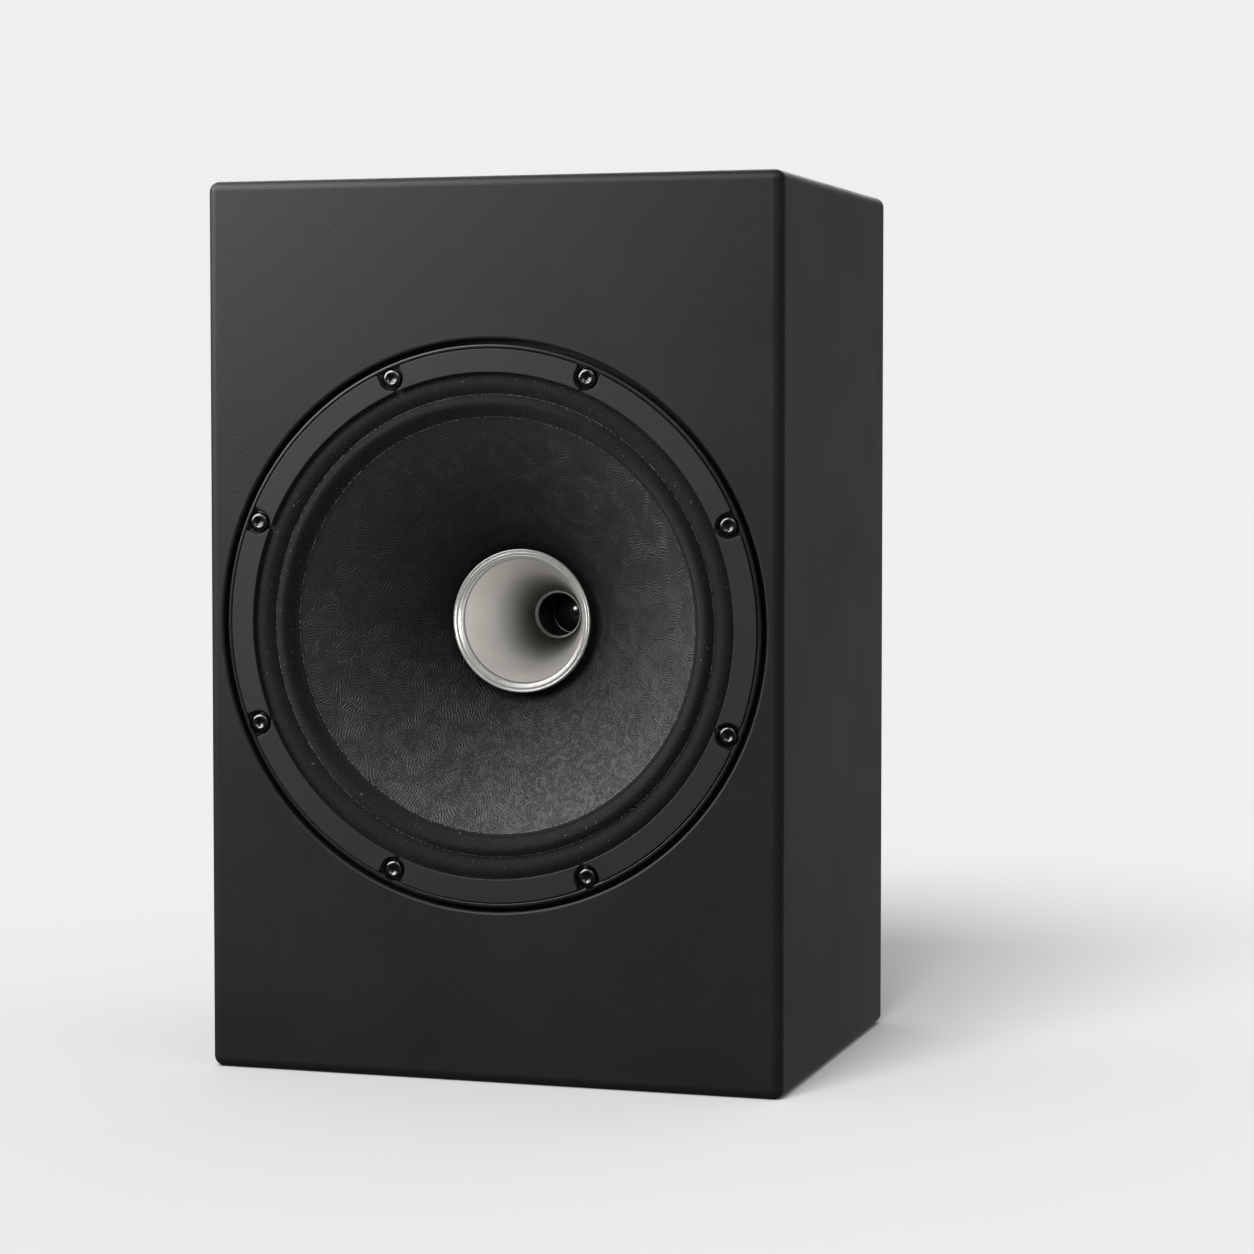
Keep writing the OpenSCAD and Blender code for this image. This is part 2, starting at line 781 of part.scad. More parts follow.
module post_studs() {
    color("#c9a24a") on_back(cup_z) at_posts() difference() {
        translate([0, 0, -stud_in]) cylinder(r = stud_r, h = stud_in + stud_out);
        translate([0, 0, stud_out - socket_l]) cylinder(r = socket_r, h = socket_l + 1);
        translate([0, 0, base_t + wire_hole_r + 0.3]) rotate([90, 0, 0])
            translate([0, 0, -stud_r - 1]) cylinder(r = wire_hole_r, h = 2 * stud_r + 2);
    }
}

module post_nuts() {
    color("#c9a24a") on_back(cup_z) at_posts()
        translate([0, 0, -cup_t - nut_t]) difference() {
            cylinder(d = nut_af / cos(30), h = nut_t, $fn = 6);
            translate([0, 0, -1]) cylinder(r = stud_r + run_gap, h = nut_t + 2);
        }
}

module solder_lugs() {
    color("#d0c8a8") on_back(cup_z) at_posts()
        translate([0, 0, -cup_t - nut_t - lug_t]) linear_extrude(lug_t) difference() {
            union() {
                circle(r = stud_r + 2.2);
                translate([-2, 0]) square([4, 14]);
            }
            circle(r = stud_r + run_gap);
        }
}

// Washer that rises with its cap without turning, and clamps a bare wire.
module clamp_washer(side) {
    color("#c9a24a") on_back(cup_z) translate([side * post_gap / 2, 0, -cup_deep])
        ring(clamp_r, stud_r + run_gap, base_t + glue, base_t + clamp_t);
}

module left_clamp() { clamp_washer(-1); }
module right_clamp() { clamp_washer(1); }

module cap(side, paint) {
    ribs = 20;
    rib_r = 0.7;
    low = base_t + clamp_t + glue;
    color(paint) on_back(cup_z) translate([side * post_gap / 2, 0, -cup_deep])
        difference() {
            turned([
                [stud_r + run_gap, low], [cap_r - 1, low], [cap_r, low + 1],
                [cap_r, low + cap_l - 2], [cap_r - 1.5, low + cap_l],
                [stud_r + run_gap, low + cap_l]
            ]);
            around(ribs, cap_r + 0.2) translate([0, 0, low + 3])
                cylinder(r = rib_r, h = cap_l);
        }
}

module left_cap() { cap(-1, "#a5231f"); }
module right_cap() { cap(1, "#1a1a1c"); }

// ---------- crossover and wiring ----------

module at_board_corners(z) {
    for (sx = [-1, 1], sy = [-1, 1])
        translate([sx * (board_w / 2 - spacer_inset),
            board_y + sy * (board_d / 2 - spacer_inset), z]) children();
}

module crossover_board() {
    color("#3f5a3a") difference() {
        translate([0, board_y, board_z]) linear_extrude(board_t)
            square([board_w, board_d], center = true);
        at_board_corners(board_z - 1) cylinder(r = board_screw_r + 0.3, h = board_t + 2);
    }
}

module board_spacers() {
    color("#d8d6cc") at_board_corners(wall_t) ring(spacer_r, board_screw_r + 0.3, 0, spacer_h);
}

module board_screws() {
    color("#b9b9b4") at_board_corners(wall_t - 9) {
        cylinder(r = board_screw_r - run_gap, h = 9 + spacer_h + board_t);
        translate([0, 0, 9 + spacer_h + board_t]) cylinder(r = 3, h = 2);
    }
}

// Coil of wire standing on end, with a plastic bobbin's bore through it.
module inductor(x, y, r, h) {
    translate([x, y, parts_z]) turned([
        [r * 0.32, 0], [r, 0], [r, 1.5], [r * 0.94, 1.5], [r * 0.94, h - 1.5],
        [r, h - 1.5], [r, h], [r * 0.32, h]
    ]);
}

module woofer_inductor() {
    color("#b06a34") inductor(choke_x, board_y, choke_r, choke_h);
}

module tweeter_inductor() {
    color("#b06a34") inductor(coil2_x, board_y - 20, coil2_r, coil2_h);
}

module woofer_capacitor() {
    color("#2d3b6e") translate([cap_lf_x, board_y - cap_lf_l / 2 + 12, parts_z + cap_lf_r])
        rotate([-90, 0, 0]) cylinder(r = cap_lf_r, h = cap_lf_l);
}

module tweeter_capacitor() {
    color("#d8c24a") translate([cap_hf_x, board_y + 27, parts_z + cap_hf_r])
        rotate([0, 90, 0]) cylinder(r = cap_hf_r, h = cap_hf_l);
}

module resistor() {
    color("#e8e4d8") translate([resistor_x, board_y - board_d / 2 + 6, parts_z])
        cube([resistor_l, resistor_s, resistor_s]);
}

module input_wires() {
    wire_end = cab_d / 2 - cup_deep - cup_t - nut_t - lug_t - 1;
    pad_y = board_y + board_d / 2 - 4;
    color("#8a2a22") for (side = [-1, 1]) {
        x = side * post_gap / 2;
        wire(bezier([[x, wire_end - wire_r, cup_z - 12], [x, wire_end - 12, cup_z - 40],
            [x, pad_y, board_z + 45], [x, pad_y, parts_z + wire_lift]], 12), wire_r);
    }
}

module woofer_wires() {
    pad_y = board_y - board_d / 2 + 30;
    tag_y = front_y + plate_z - 5;
    tag_z = drv_z - ring_out - 20;
    color("#8a2a22") for (side = [-1, 1]) {
        x = side * 4 - 13;
        wire(bezier([[x, pad_y, parts_z + wire_lift], [x, pad_y, board_z + 60],
            [side * 9, tag_y, tag_z - 40], [side * 9, tag_y, tag_z]], 14), wire_r);
    }
}

module tweeter_wires() {
    pad_y = board_y + 6;
    tag_y = front_y + can_z + can_t + 8 + wire_r;
    color("#2a4a8a") for (side = [-1, 1]) {
        x = 36 + side * 4;
        wire(bezier([[x, pad_y, parts_z + wire_lift], [x, pad_y, board_z + 70],
            [side * 8, tag_y + 10, drv_z - 60], [side * 8, tag_y, drv_z - 1]], 16), wire_r);
    }
}

front_panel();
left_panel();
right_panel();
top_panel();
bottom_panel();
back_panel();
brace();
left_foam();
right_foam();
top_foam();
back_foam();
flange_seal();
basket();
gasket_pads();
driver_washers();
driver_screws();
tee_nuts();
surround();
cone();
coil_former();
voice_coil();
spider();
frame_screws();
top_plate();
ferrite_magnet();
yoke();
woofer_terminals();
horn();
throat_tube();
tweeter_screws();
tweeter_dome();
tweeter_coil();
tweeter_top_plate();
tweeter_magnet();
tweeter_yoke();
tweeter_can();
terminal_cup();
cup_seal();
cup_screws();
post_bases();
post_studs();
post_nuts();
solder_lugs();
left_clamp();
right_clamp();
left_cap();
right_cap();
crossover_board();
board_spacers();
board_screws();
woofer_inductor();
tweeter_inductor();
woofer_capacitor();
tweeter_capacitor();
resistor();
input_wires();
woofer_wires();
tweeter_wires();
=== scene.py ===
import math

import bmesh
import bpy
from mathutils import Matrix, Vector, noise
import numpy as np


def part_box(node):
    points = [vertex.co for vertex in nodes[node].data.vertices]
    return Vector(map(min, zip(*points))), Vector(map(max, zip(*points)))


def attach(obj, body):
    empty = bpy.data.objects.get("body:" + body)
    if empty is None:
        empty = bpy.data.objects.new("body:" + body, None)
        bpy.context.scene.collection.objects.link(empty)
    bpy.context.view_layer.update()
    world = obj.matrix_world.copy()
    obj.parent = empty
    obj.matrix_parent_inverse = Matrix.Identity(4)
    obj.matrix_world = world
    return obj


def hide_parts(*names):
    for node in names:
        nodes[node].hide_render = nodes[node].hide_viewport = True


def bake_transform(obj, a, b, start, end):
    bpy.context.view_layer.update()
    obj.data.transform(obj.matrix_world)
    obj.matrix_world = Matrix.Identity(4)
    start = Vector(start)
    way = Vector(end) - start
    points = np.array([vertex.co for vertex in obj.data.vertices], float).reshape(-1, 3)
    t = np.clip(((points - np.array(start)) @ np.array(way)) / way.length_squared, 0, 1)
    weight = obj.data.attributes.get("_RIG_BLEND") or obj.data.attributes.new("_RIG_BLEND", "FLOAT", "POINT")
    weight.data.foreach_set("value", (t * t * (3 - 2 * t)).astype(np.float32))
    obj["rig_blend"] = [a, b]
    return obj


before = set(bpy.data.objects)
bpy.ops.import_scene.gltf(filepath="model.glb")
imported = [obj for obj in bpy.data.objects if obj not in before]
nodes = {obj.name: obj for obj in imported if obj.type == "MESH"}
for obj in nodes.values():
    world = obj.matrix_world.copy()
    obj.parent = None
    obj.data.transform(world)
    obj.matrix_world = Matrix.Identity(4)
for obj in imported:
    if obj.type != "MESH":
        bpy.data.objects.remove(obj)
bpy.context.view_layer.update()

MM = 0.001

# ---------- sizes, in millimetres, as the CAD model has them ----------

panel_low, panel_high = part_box("front_panel")
back_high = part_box("back_panel")[1]
side_low, side_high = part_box("right_panel")
flange_low, flange_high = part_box("basket")

CAB_W = (panel_high.x - panel_low.x) / MM
CAB_H = (panel_high.z - panel_low.z) / MM
FRONT_Y = panel_low.y / MM
BACK_Y = back_high.y / MM
BAFFLE_T = (panel_high.y - panel_low.y) / MM
WALL_T = (side_high.x - side_low.x) / MM
DRIVER_Z = (flange_low.z + flange_high.z) / 2 / MM
FLANGE_R = (flange_high.x - flange_low.x) / 2 / MM
EDGE_R = 6
EDGE_STEPS = 8

RECESS_R = FLANGE_R + 3
RECESS_Z = 9.5
CUTOUT_R = 143.8
BASKET_R = 140.6
WALL_R = 143
PAD_T = 3
PAD_IN = 142.4
PAD_OUT = 155.5
RIM_W = 2
RIM_DROP = 0.4
FLANGE_BACK = 8
LEDGE_Z = 4
SURROUND_OUT = 144.2
SURROUND_T = 0.7

BOLTS = 8
BOLT_CIRCLE = FLANGE_R - 7.5
BOLT_TURN = math.pi / BOLTS
BOLT_R = 3
NOTCH_R = 7.2
SLIT_W = 2.4
SEAT_Z = 4.6
WASHER_R = 6
WASHER_T = 1
HEAD_R = 5.3
HEAD_H = 3.2
HEX_KEY_R = 2.3

CONE_R = 119.3
CONE_EDGE_Z = 9.3
CONE_T = 1.2
CONE_BOW = 0.93
NECK_Z = 69
FORMER_R = 38
LAP_W = 1.5
VALLEY_R = 130.16
VALLEY_Z = 5.5

SPIDER_Z = 73.5
SHELF_IN = 78
RING_IN = 46
RING_OUT = 98
RING_Z = 81
PLATE_Z = 87
SPOKES = 12
SPOKE_W = 16

HORN_LIP_Z = 57
HORN_MOUTH_R = 36.2
HORN_LIP_R = 41.6
THROAT_R = 13
THROAT_Z = 127
NECK_R = 17.5
HORN_END = 129
YOKE_Z = 125
TUBE_END = 157
DOME_R = 12.5
DOME_RISE = 5

CUP_Z = 110
CUP_W = 94
CUP_H = 60
CUP_DEEP = 35
CUP_T = 3
CUP_FLANGE = 12
CUP_FLANGE_T = 3
CUP_ROUND = 8
CUP_SEAL_T = 1
POST_X = 9.5
POST_HOLE_R = 3.55

# Each placement's +z points out of the box: along the driver's axis, and at the terminal cup.
TO_DRIVER = Matrix.Translation((0, FRONT_Y * MM, DRIVER_Z * MM)) @ Matrix.Rotation(math.pi / 2, 4, "X")
TO_BACK = Matrix.Translation((0, BACK_Y * MM, CUP_Z * MM)) @ Matrix.Rotation(-math.pi / 2, 4, "X")


# ---------- camera, floor and light ----------

def add_camera():
    yaw = 0.2967
    pitch = 0.0476
    data = bpy.data.cameras.new("camera")
    data.lens = 94.81
    data.sensor_width = 36
    data.shift_y = -0.0375
    back = Vector((math.sin(yaw) * math.cos(pitch), -math.cos(yaw) * math.cos(pitch), math.sin(pitch)))
    right = Vector((math.cos(yaw), math.sin(yaw), 0))
    up = back.cross(right)
    camera = bpy.data.objects.new("camera", data)
    turn = Matrix((right, up, back)).transposed().to_4x4()
    camera.matrix_world = Matrix.Translation((0.6143, -1.8699, 0.3722)) @ turn
    bpy.context.scene.collection.objects.link(camera)
    bpy.context.scene.camera = camera


def add(tree, kind, inputs=None, **settings):
    """A shader node with its settings; each input is a value or another node's output."""
    made = tree.nodes.new("ShaderNode" + kind)
    for key, value in settings.items():
        setattr(made, key, value)
    for key, value in (inputs or {}).items():
        if isinstance(value, bpy.types.NodeSocket):
            tree.links.new(value, made.inputs[key])
        else:
            made.inputs[key].default_value = value
    return made


def math_node(tree, operation, a, b=0.0):
    return add(tree, "Math", {0: a, 1: b}, operation=operation).outputs[0]


def toward(azimuth, elevation):
    """Direction in degrees: azimuth 0 is in front of the speaker, and 90 is to its right."""
    a, e = math.radians(azimuth), math.radians(elevation)
    return Vector((math.sin(a) * math.cos(e), -math.cos(a) * math.cos(e), math.sin(e)))


def glow(tree, ray, azimuth, elevation, inner, outer, strength):
    """Soft round patch of light on the sky, full inside one angle and nothing outside another."""
    aim = toward(azimuth, elevation)
    dot = add(tree, "VectorMath", {0: ray, 1: aim}, operation="DOT_PRODUCT").outputs["Value"]
    patch = add(tree, "MapRange", {
        "Value": dot,
        "From Min": math.cos(math.radians(outer)),
        "From Max": math.cos(math.radians(inner)),
        "To Min": 0.0,
        "To Max": strength,
    }, interpolation_type="SMOOTHSTEP")
    return patch.outputs[0]


BACKDROP = 0.863


def add_world():
    """Dim studio with soft pale patches; the camera sees only the even pale backdrop.

    A patch is its azimuth, elevation, inner angle, outer angle and strength.
    """
    world = bpy.data.worlds.new("studio")
    bpy.context.scene.world = world
    world.use_nodes = True
    tree = world.node_tree
    tree.nodes.clear()
    ray = add(tree, "TexCoord").outputs["Generated"]
    light = 0.03
    for patch in (
        (158, 6, 15, 60, 0.19),     # screen behind, right
        (-158, 6, 15, 60, 0.19),    # screen behind, left
        (66, -8, 10, 40, 0.09),     # pale wall, front right
        (35, 8, 3, 12, 0.30),       # narrow strip, front right
    ):
        light = math_node(tree, "ADD", glow(tree, ray, *patch), light)
    seen = add(tree, "LightPath").outputs["Is Camera Ray"]
    level = add(tree, "Mix", {0: seen, 2: light, 3: BACKDROP}).outputs[0]
    shader = add(tree, "Background", {"Color": (1, 1, 1, 1), "Strength": level})
    out = add(tree, "OutputWorld")
    tree.links.new(shader.outputs[0], out.inputs[0])


def add_light(name, kind, place, aim, energy, lit, **settings):
    """A light at place, turned towards aim, that shines only as the lit group says."""
    data = bpy.data.lights.new(name, kind)
    data.energy = energy
    for key, value in settings.items():
        setattr(data, key, value)
    lamp = bpy.data.objects.new(name, data)
    lamp.location = place
    lamp.rotation_euler = (Vector(aim) - Vector(place)).to_track_quat("-Z", "Y").to_euler()
    lamp.light_linking.receiver_collection = lit
    bpy.context.scene.collection.objects.link(lamp)


def receivers(name, objects, state):
    """Group of objects that a light shines on (INCLUDE) or leaves out (EXCLUDE)."""
    group = bpy.data.collections.new(name)
    for obj in objects:
        group.objects.link(obj)
    for member in group.collection_objects:
        member.light_linking.link_state = state
    return group


def add_floor():
    half = 40
    mesh = bpy.data.meshes.new("floor")
    corners = [(-half, -half, 0), (half, -half, 0), (half, half, 0), (-half, half, 0)]
    mesh.from_pydata(corners, [], [(0, 1, 2, 3)])
    floor = bpy.data.objects.new("floor", mesh)
    bpy.context.scene.collection.objects.link(floor)
    mat = bpy.data.materials.new("floor_paper")
    mat.use_nodes = True
    shader = mat.node_tree.nodes["Principled BSDF"]
    shader.inputs["Base Color"].default_value = (0.8, 0.8, 0.8, 1)
    shader.inputs["Roughness"].default_value = 0.9
    shader.inputs["Specular IOR Level"].default_value = 0.0
    mesh.materials.append(mat)
    floor.visible_glossy = False
    return floor


def add_studio(horn_piece, tube_pieces):
    view = bpy.context.scene.view_settings
    view.view_transform = "Standard"
    view.look = "None"
    add_world()
    floor = add_floor()
    floor_only = receivers("floor_only", [floor], "INCLUDE")
    speaker_only = receivers("speaker_only", [floor], "EXCLUDE")
    horn_only = receivers("horn_only", [horn_piece], "INCLUDE")
    tube_only = receivers("tube_only", tube_pieces, "INCLUDE")
    add_light("shadow_sun", "SUN", (0, 0, 0), (0.10, 0.75, -0.75), 2.5, floor_only,
              angle=math.radians(30))
    add_light("floor_sky", "SUN", (0, 0, 0), (0, 0, -1), 1.42, floor_only,
              angle=math.radians(118))
    driver = Vector((0, FRONT_Y * MM, DRIVER_Z * MM))
    for name, azimuth, elevation, distance, energy, size, lit in (
        ("key_box", -57, 38, 1.15, 24.5, 1.2, speaker_only),
        ("top_fill", 38, 50, 1.7, 6, 1.2, speaker_only),
        ("horn_fill", 58, 4, 1.4, 27, 0.8, horn_only),
        ("tube_fill", -6, 12, 1.2, 5, 0.2, tube_only),
        ("back_fill", 195, 32, 1.9, 22, 1.4, speaker_only),
    ):
        place = driver + toward(azimuth, elevation) * distance
        add_light(name, "AREA", place, driver, energy, lit, shape="SQUARE", size=size)


# ---------- materials ----------

def object_point(tree):
    return add(tree, "TexCoord").outputs["Object"]


def fractal(tree, point, scale, detail=2.0, distortion=0.0, roughness=0.5):
    made = add(tree, "TexNoise", {
        "Vector": point, "Scale": scale, "Detail": detail,
        "Roughness": roughness, "Distortion": distortion,
    })
    return made.outputs["Fac"]


def crinkle(tree, scale, cycles, swirl):
    """Wandering parallel ridges in the front plane, like a fingerprint, from 0 to 1."""
    point = object_point(tree)
    parts = add(tree, "SeparateXYZ", {0: point})
    flat = add(tree, "CombineXYZ", {"X": parts.outputs["X"], "Y": parts.outputs["Z"]}).outputs[0]
    lean = math_node(tree, "MULTIPLY", fractal(tree, point, swirl, 2), 14.0)
    made = add(tree, "TexGabor", {
        "Vector": flat, "Scale": scale, "Frequency": cycles, "Anisotropy": 0.8, "Orientation": lean,
    }, gabor_type="2D")
    return made.outputs["Value"]


def stretched(tree, point, scale):
    return add(tree, "Mapping", {"Vector": point, "Scale": scale}).outputs[0]


def from_axis(tree):
    """The point's place in the front plane, seen from the driver's axis."""
    place = add(tree, "VectorMath", {0: object_point(tree), 1: (0, 0, DRIVER_Z * MM)},
                operation="SUBTRACT").outputs[0]
    return add(tree, "VectorMath", {0: place, 1: (1, 0, 1)}, operation="MULTIPLY").outputs[0]


def axis_distance(tree):
    return add(tree, "VectorMath", {0: from_axis(tree)}, operation="LENGTH").outputs["Value"]


def polar_point(tree, around, outward):
    """Texture point scaled by around along the circle and by outward along the radius."""
    turn = add(tree, "VectorMath", {0: from_axis(tree)}, operation="NORMALIZE").outputs[0]
    circle = add(tree, "VectorMath", {0: turn, "Scale": around}, operation="SCALE").outputs[0]
    out = add(tree, "CombineXYZ", {"Y": math_node(tree, "MULTIPLY", axis_distance(tree), outward)}).outputs[0]
    return add(tree, "VectorMath", {0: circle, 1: out}, operation="ADD").outputs[0]


def ramp(tree, value, low, high, at_low, at_high):
    made = add(tree, "MapRange", {
        "Value": value, "From Min": low, "From Max": high, "To Min": at_low, "To Max": at_high})
    return made.outputs[0]


def two_tone(tree, value, dark, light):
    mix = add(tree, "Mix", {0: value, 6: (*dark, 1), 7: (*light, 1)}, data_type="RGBA")
    return mix.outputs[2]


def bumped(tree, height, distance, strength=1.0):
    """Bump of the given height map; the distance is in millimetres."""
    return add(tree, "Bump", {
        "Height": height, "Strength": strength, "Distance": distance * MM}).outputs[0]


MADE = {}


def material(slot):
    if slot not in MADE:
        mat = bpy.data.materials.new(slot)
        mat.use_nodes = True
        tree = mat.node_tree
        shader = tree.nodes["Principled BSDF"]
        RECIPES[slot](tree, shader)
        MADE[slot] = mat
    return MADE[slot]


def wire_up(tree, shader, **inputs):
    """Sets or links the shader's own inputs; an underscore stands for a space."""
    for key, value in inputs.items():
        socket = shader.inputs[key.replace("_", " ")]
        if isinstance(value, bpy.types.NodeSocket):
            tree.links.new(value, socket)
        else:
            socket.default_value = value


def paint(dark, light, rough, grain, bump, specular=0.5, metallic=0.0):
    """Sprayed or cast finish: cloudy colour, uneven gloss and a fine grain."""
    def build(tree, shader):
        point = object_point(tree)
        cloud = fractal(tree, point, 14, 4)
        fine = fractal(tree, point, grain, 3)
        wire_up(tree, shader,
                Base_Color=two_tone(tree, ramp(tree, cloud, 0.3, 0.7, 0, 1), dark, light),
                Roughness=ramp(tree, fractal(tree, point, 30, 5), 0.25, 0.75, rough - 0.05, rough + 0.05),
                Metallic=metallic, Specular_IOR_Level=specular,
                Normal=bumped(tree, fine, bump))
    return build


def cabinet_paint(tree, shader):
    point = object_point(tree)
    cloud = fractal(tree, point, 9, 5, 0.4, 0.6)
    orange_peel = fractal(tree, point, 520, 2)
    dust = fractal(tree, point, 1900, 3)
    height = math_node(tree, "ADD", orange_peel, math_node(tree, "MULTIPLY", dust, 0.5))
    wire_up(tree, shader,
            Base_Color=two_tone(tree, ramp(tree, cloud, 0.3, 0.7, 0, 1),
                                (0.0105, 0.0105, 0.0108), (0.0135, 0.0135, 0.0135)),
            Roughness=ramp(tree, cloud, 0.3, 0.7, 0.47, 0.55),
            Specular_IOR_Level=0.45,
            Normal=bumped(tree, height, 0.13, 0.7))


def pad_rubber(tree, shader):
    point = object_point(tree)
    cloud = fractal(tree, point, 22, 4)
    grain = fractal(tree, point, 1400, 3)
    wire_up(tree, shader,
            Base_Color=two_tone(tree, cloud, (0.015, 0.015, 0.015), (0.021, 0.021, 0.021)),
            Roughness=ramp(tree, grain, 0.3, 0.7, 0.5, 0.6),
            Normal=bumped(tree, grain, 0.03, 0.6))


def surround_cloth(tree, shader):
    point = object_point(tree)
    ribs = ramp(tree, crinkle(tree, 300, 2.4, 24), 0.3, 0.7, 0.0, 1.0)
    fluff = fractal(tree, point, 1900, 3)
    lint = ramp(tree, fractal(tree, point, 420, 1), 0.74, 0.79, 0, 1)
    height = math_node(tree, "ADD", ribs, math_node(tree, "MULTIPLY", fluff, 0.8))
    tone = math_node(tree, "MULTIPLY", math_node(tree, "ADD", ribs, fluff), 0.5)
    cloth = two_tone(tree, tone, (0.001, 0.001, 0.0011), (0.021, 0.021, 0.0215))
    dusty = add(tree, "Mix", {0: math_node(tree, "MULTIPLY", lint, 0.5), 6: cloth,
                              7: (0.16, 0.16, 0.16, 1)}, data_type="RGBA").outputs[2]
    wire_up(tree, shader,
            Base_Color=dusty,
            Roughness=0.85,
            Specular_IOR_Level=0.25,
            Sheen_Weight=0.05, Sheen_Roughness=0.45,
            Normal=bumped(tree, height, 0.34, 1.0))


def cone_paper(tree, shader):
    point = object_point(tree)
    ridges = ramp(tree, crinkle(tree, 215, 3.1, 34), 0.3, 0.7, 0.0, 1.0)
    patchy = ramp(tree, fractal(tree, point, 55, 3), 0.35, 0.6, 0.75, 1.0)
    # painted shade: towards the neck the base colour darkens to 0.35 of its value and the specular level
    # drops
    shade = ramp(tree, axis_distance(tree), 1.1 * FORMER_R * MM, 0.92 * CONE_R * MM, 0.35, 1.0)
    pulp = fractal(tree, point, 900, 4, 0.0, 0.6)
    patchy_ridges = math_node(tree, "MULTIPLY", ridges, patchy)
    height = math_node(tree, "ADD", patchy_ridges, math_node(tree, "MULTIPLY", pulp, 0.4))
    # the ridges are painted lighter than the paper between them: partly fibre tone, partly a painted
    # highlight on their crests
    tone = math_node(tree, "MULTIPLY", math_node(tree, "ADD", patchy_ridges, pulp), 0.6)
    paper = two_tone(tree, tone, (0.006, 0.006, 0.0065), (0.040, 0.040, 0.041))
    wire_up(tree, shader,
            Base_Color=add(tree, "VectorMath", {0: paper, "Scale": shade}, operation="SCALE").outputs[0],
            Roughness=ramp(tree, pulp, 0.3, 0.7, 0.44, 0.56),
            Specular_IOR_Level=ramp(tree, shade, 0.35, 1.0, 0.24, 0.50),
            Normal=bumped(tree, height, 0.42, 1.0))


def horn_aluminium(tree, shader):
    lathe_marks = fractal(tree, polar_point(tree, 3, 2600), 1.0, 3)
    radius = axis_distance(tree)
    grit = fractal(tree, object_point(tree), 1500, 4)
    cloud = fractal(tree, object_point(tree), 60, 3)
    specks = ramp(tree, fractal(tree, object_point(tree), 700, 1), 0.70, 0.80, 0, 0.5)
    # painted shade: the base colour darkens towards the throat, down to 0.28 of its value there
    depth = ramp(tree, radius, THROAT_R * MM, 0.75 * HORN_MOUTH_R * MM, 0.28, 1.0)
    # painted shade: a thin dark ring just inside the mouth, where a groove's shade would fall
    from_line = math_node(tree, "ABSOLUTE", math_node(tree, "SUBTRACT", radius, (HORN_MOUTH_R - 0.25) * MM))
    painted_groove_shade = ramp(tree, from_line, 0.1 * MM, 0.3 * MM, 0.25, 1.0)
    satin = two_tone(tree, cloud, (0.62, 0.605, 0.57), (0.70, 0.685, 0.65))
    pitted = add(tree, "Mix", {0: specks, 6: satin, 7: (0.42, 0.41, 0.38, 1)}, data_type="RGBA").outputs[2]
    shade = math_node(tree, "MULTIPLY", depth, painted_groove_shade)
    wire_up(tree, shader,
            Base_Color=add(tree, "VectorMath", {0: pitted, "Scale": shade}, operation="SCALE").outputs[0],
            Metallic=0.7,
            Roughness=ramp(tree, grit, 0.3, 0.7, 0.42, 0.54),
            Normal=bumped(tree, math_node(tree, "ADD", lathe_marks, grit), 0.02, 0.6))


def polished_rim(tree, shader):
    marks = fractal(tree, polar_point(tree, 3, 4200), 1.0, 2)
    wire_up(tree, shader,
            Base_Color=two_tone(tree, marks, (0.60, 0.59, 0.565), (0.74, 0.73, 0.71)),
            Metallic=0.85,
            Roughness=ramp(tree, marks, 0.3, 0.7, 0.27, 0.36),
            Normal=bumped(tree, marks, 0.01, 0.5))


def dome_film(tree, shader):
    point = object_point(tree)
    cloud = fractal(tree, point, 300, 3)
    wire_up(tree, shader,
            Base_Color=two_tone(tree, cloud, (0.006, 0.006, 0.007), (0.011, 0.011, 0.012)),
            Roughness=ramp(tree, cloud, 0.3, 0.7, 0.10, 0.17),
            Normal=bumped(tree, cloud, 0.01, 0.4))


def glue_painted_glints(tree, shader):
    run = fractal(tree, polar_point(tree, 95, 1), 1.0, 3, 0.0, 0.7)
    # painted highlight: the bright dashes in the base colour stand for glints along the glue bead
    wire_up(tree, shader,
            Base_Color=two_tone(tree, ramp(tree, run, 0.45, 0.62, 0, 1),
                                (0.003, 0.003, 0.003), (0.17, 0.17, 0.165)),
            Roughness=ramp(tree, run, 0.4, 0.6, 0.5, 0.2),
            Normal=bumped(tree, run, 0.1, 0.6))


def spider_cloth(tree, shader):
    weave = fractal(tree, polar_point(tree, 300, 1500), 1.0, 2)
    wire_up(tree, shader,
            Base_Color=two_tone(tree, weave, (0.22, 0.13, 0.035), (0.42, 0.28, 0.09)),
            Roughness=0.8, Normal=bumped(tree, weave, 0.1))


def foam(tree, shader):
    cells = add(tree, "TexVoronoi", {"Vector": object_point(tree), "Scale": 700}).outputs["Distance"]
    wire_up(tree, shader,
            Base_Color=two_tone(tree, cells, (0.03, 0.032, 0.035), (0.11, 0.115, 0.12)),
            Roughness=0.95, Normal=bumped(tree, cells, 0.5))


def board(tree, shader):
    fibres = fractal(tree, stretched(tree, object_point(tree), (60, 500, 500)), 1.0, 5)
    wire_up(tree, shader,
            Base_Color=two_tone(tree, fibres, (0.40, 0.27, 0.15), (0.60, 0.45, 0.28)),
            Roughness=0.75, Normal=bumped(tree, fibres, 0.1))


def brushed(dark, light, rough, metallic=1.0):
    """Turned or plated metal with fine scratches."""
    def build(tree, shader):
        point = object_point(tree)
        scratch = fractal(tree, stretched(tree, point, (300, 300, 2500)), 1.0, 4)
        cloud = fractal(tree, point, 90, 3)
        wire_up(tree, shader,
                Base_Color=two_tone(tree, cloud, dark, light), Metallic=metallic,
                Roughness=ramp(tree, scratch, 0.3, 0.7, rough - 0.06, rough + 0.06),
                Normal=bumped(tree, scratch, 0.012, 0.6))
    return build


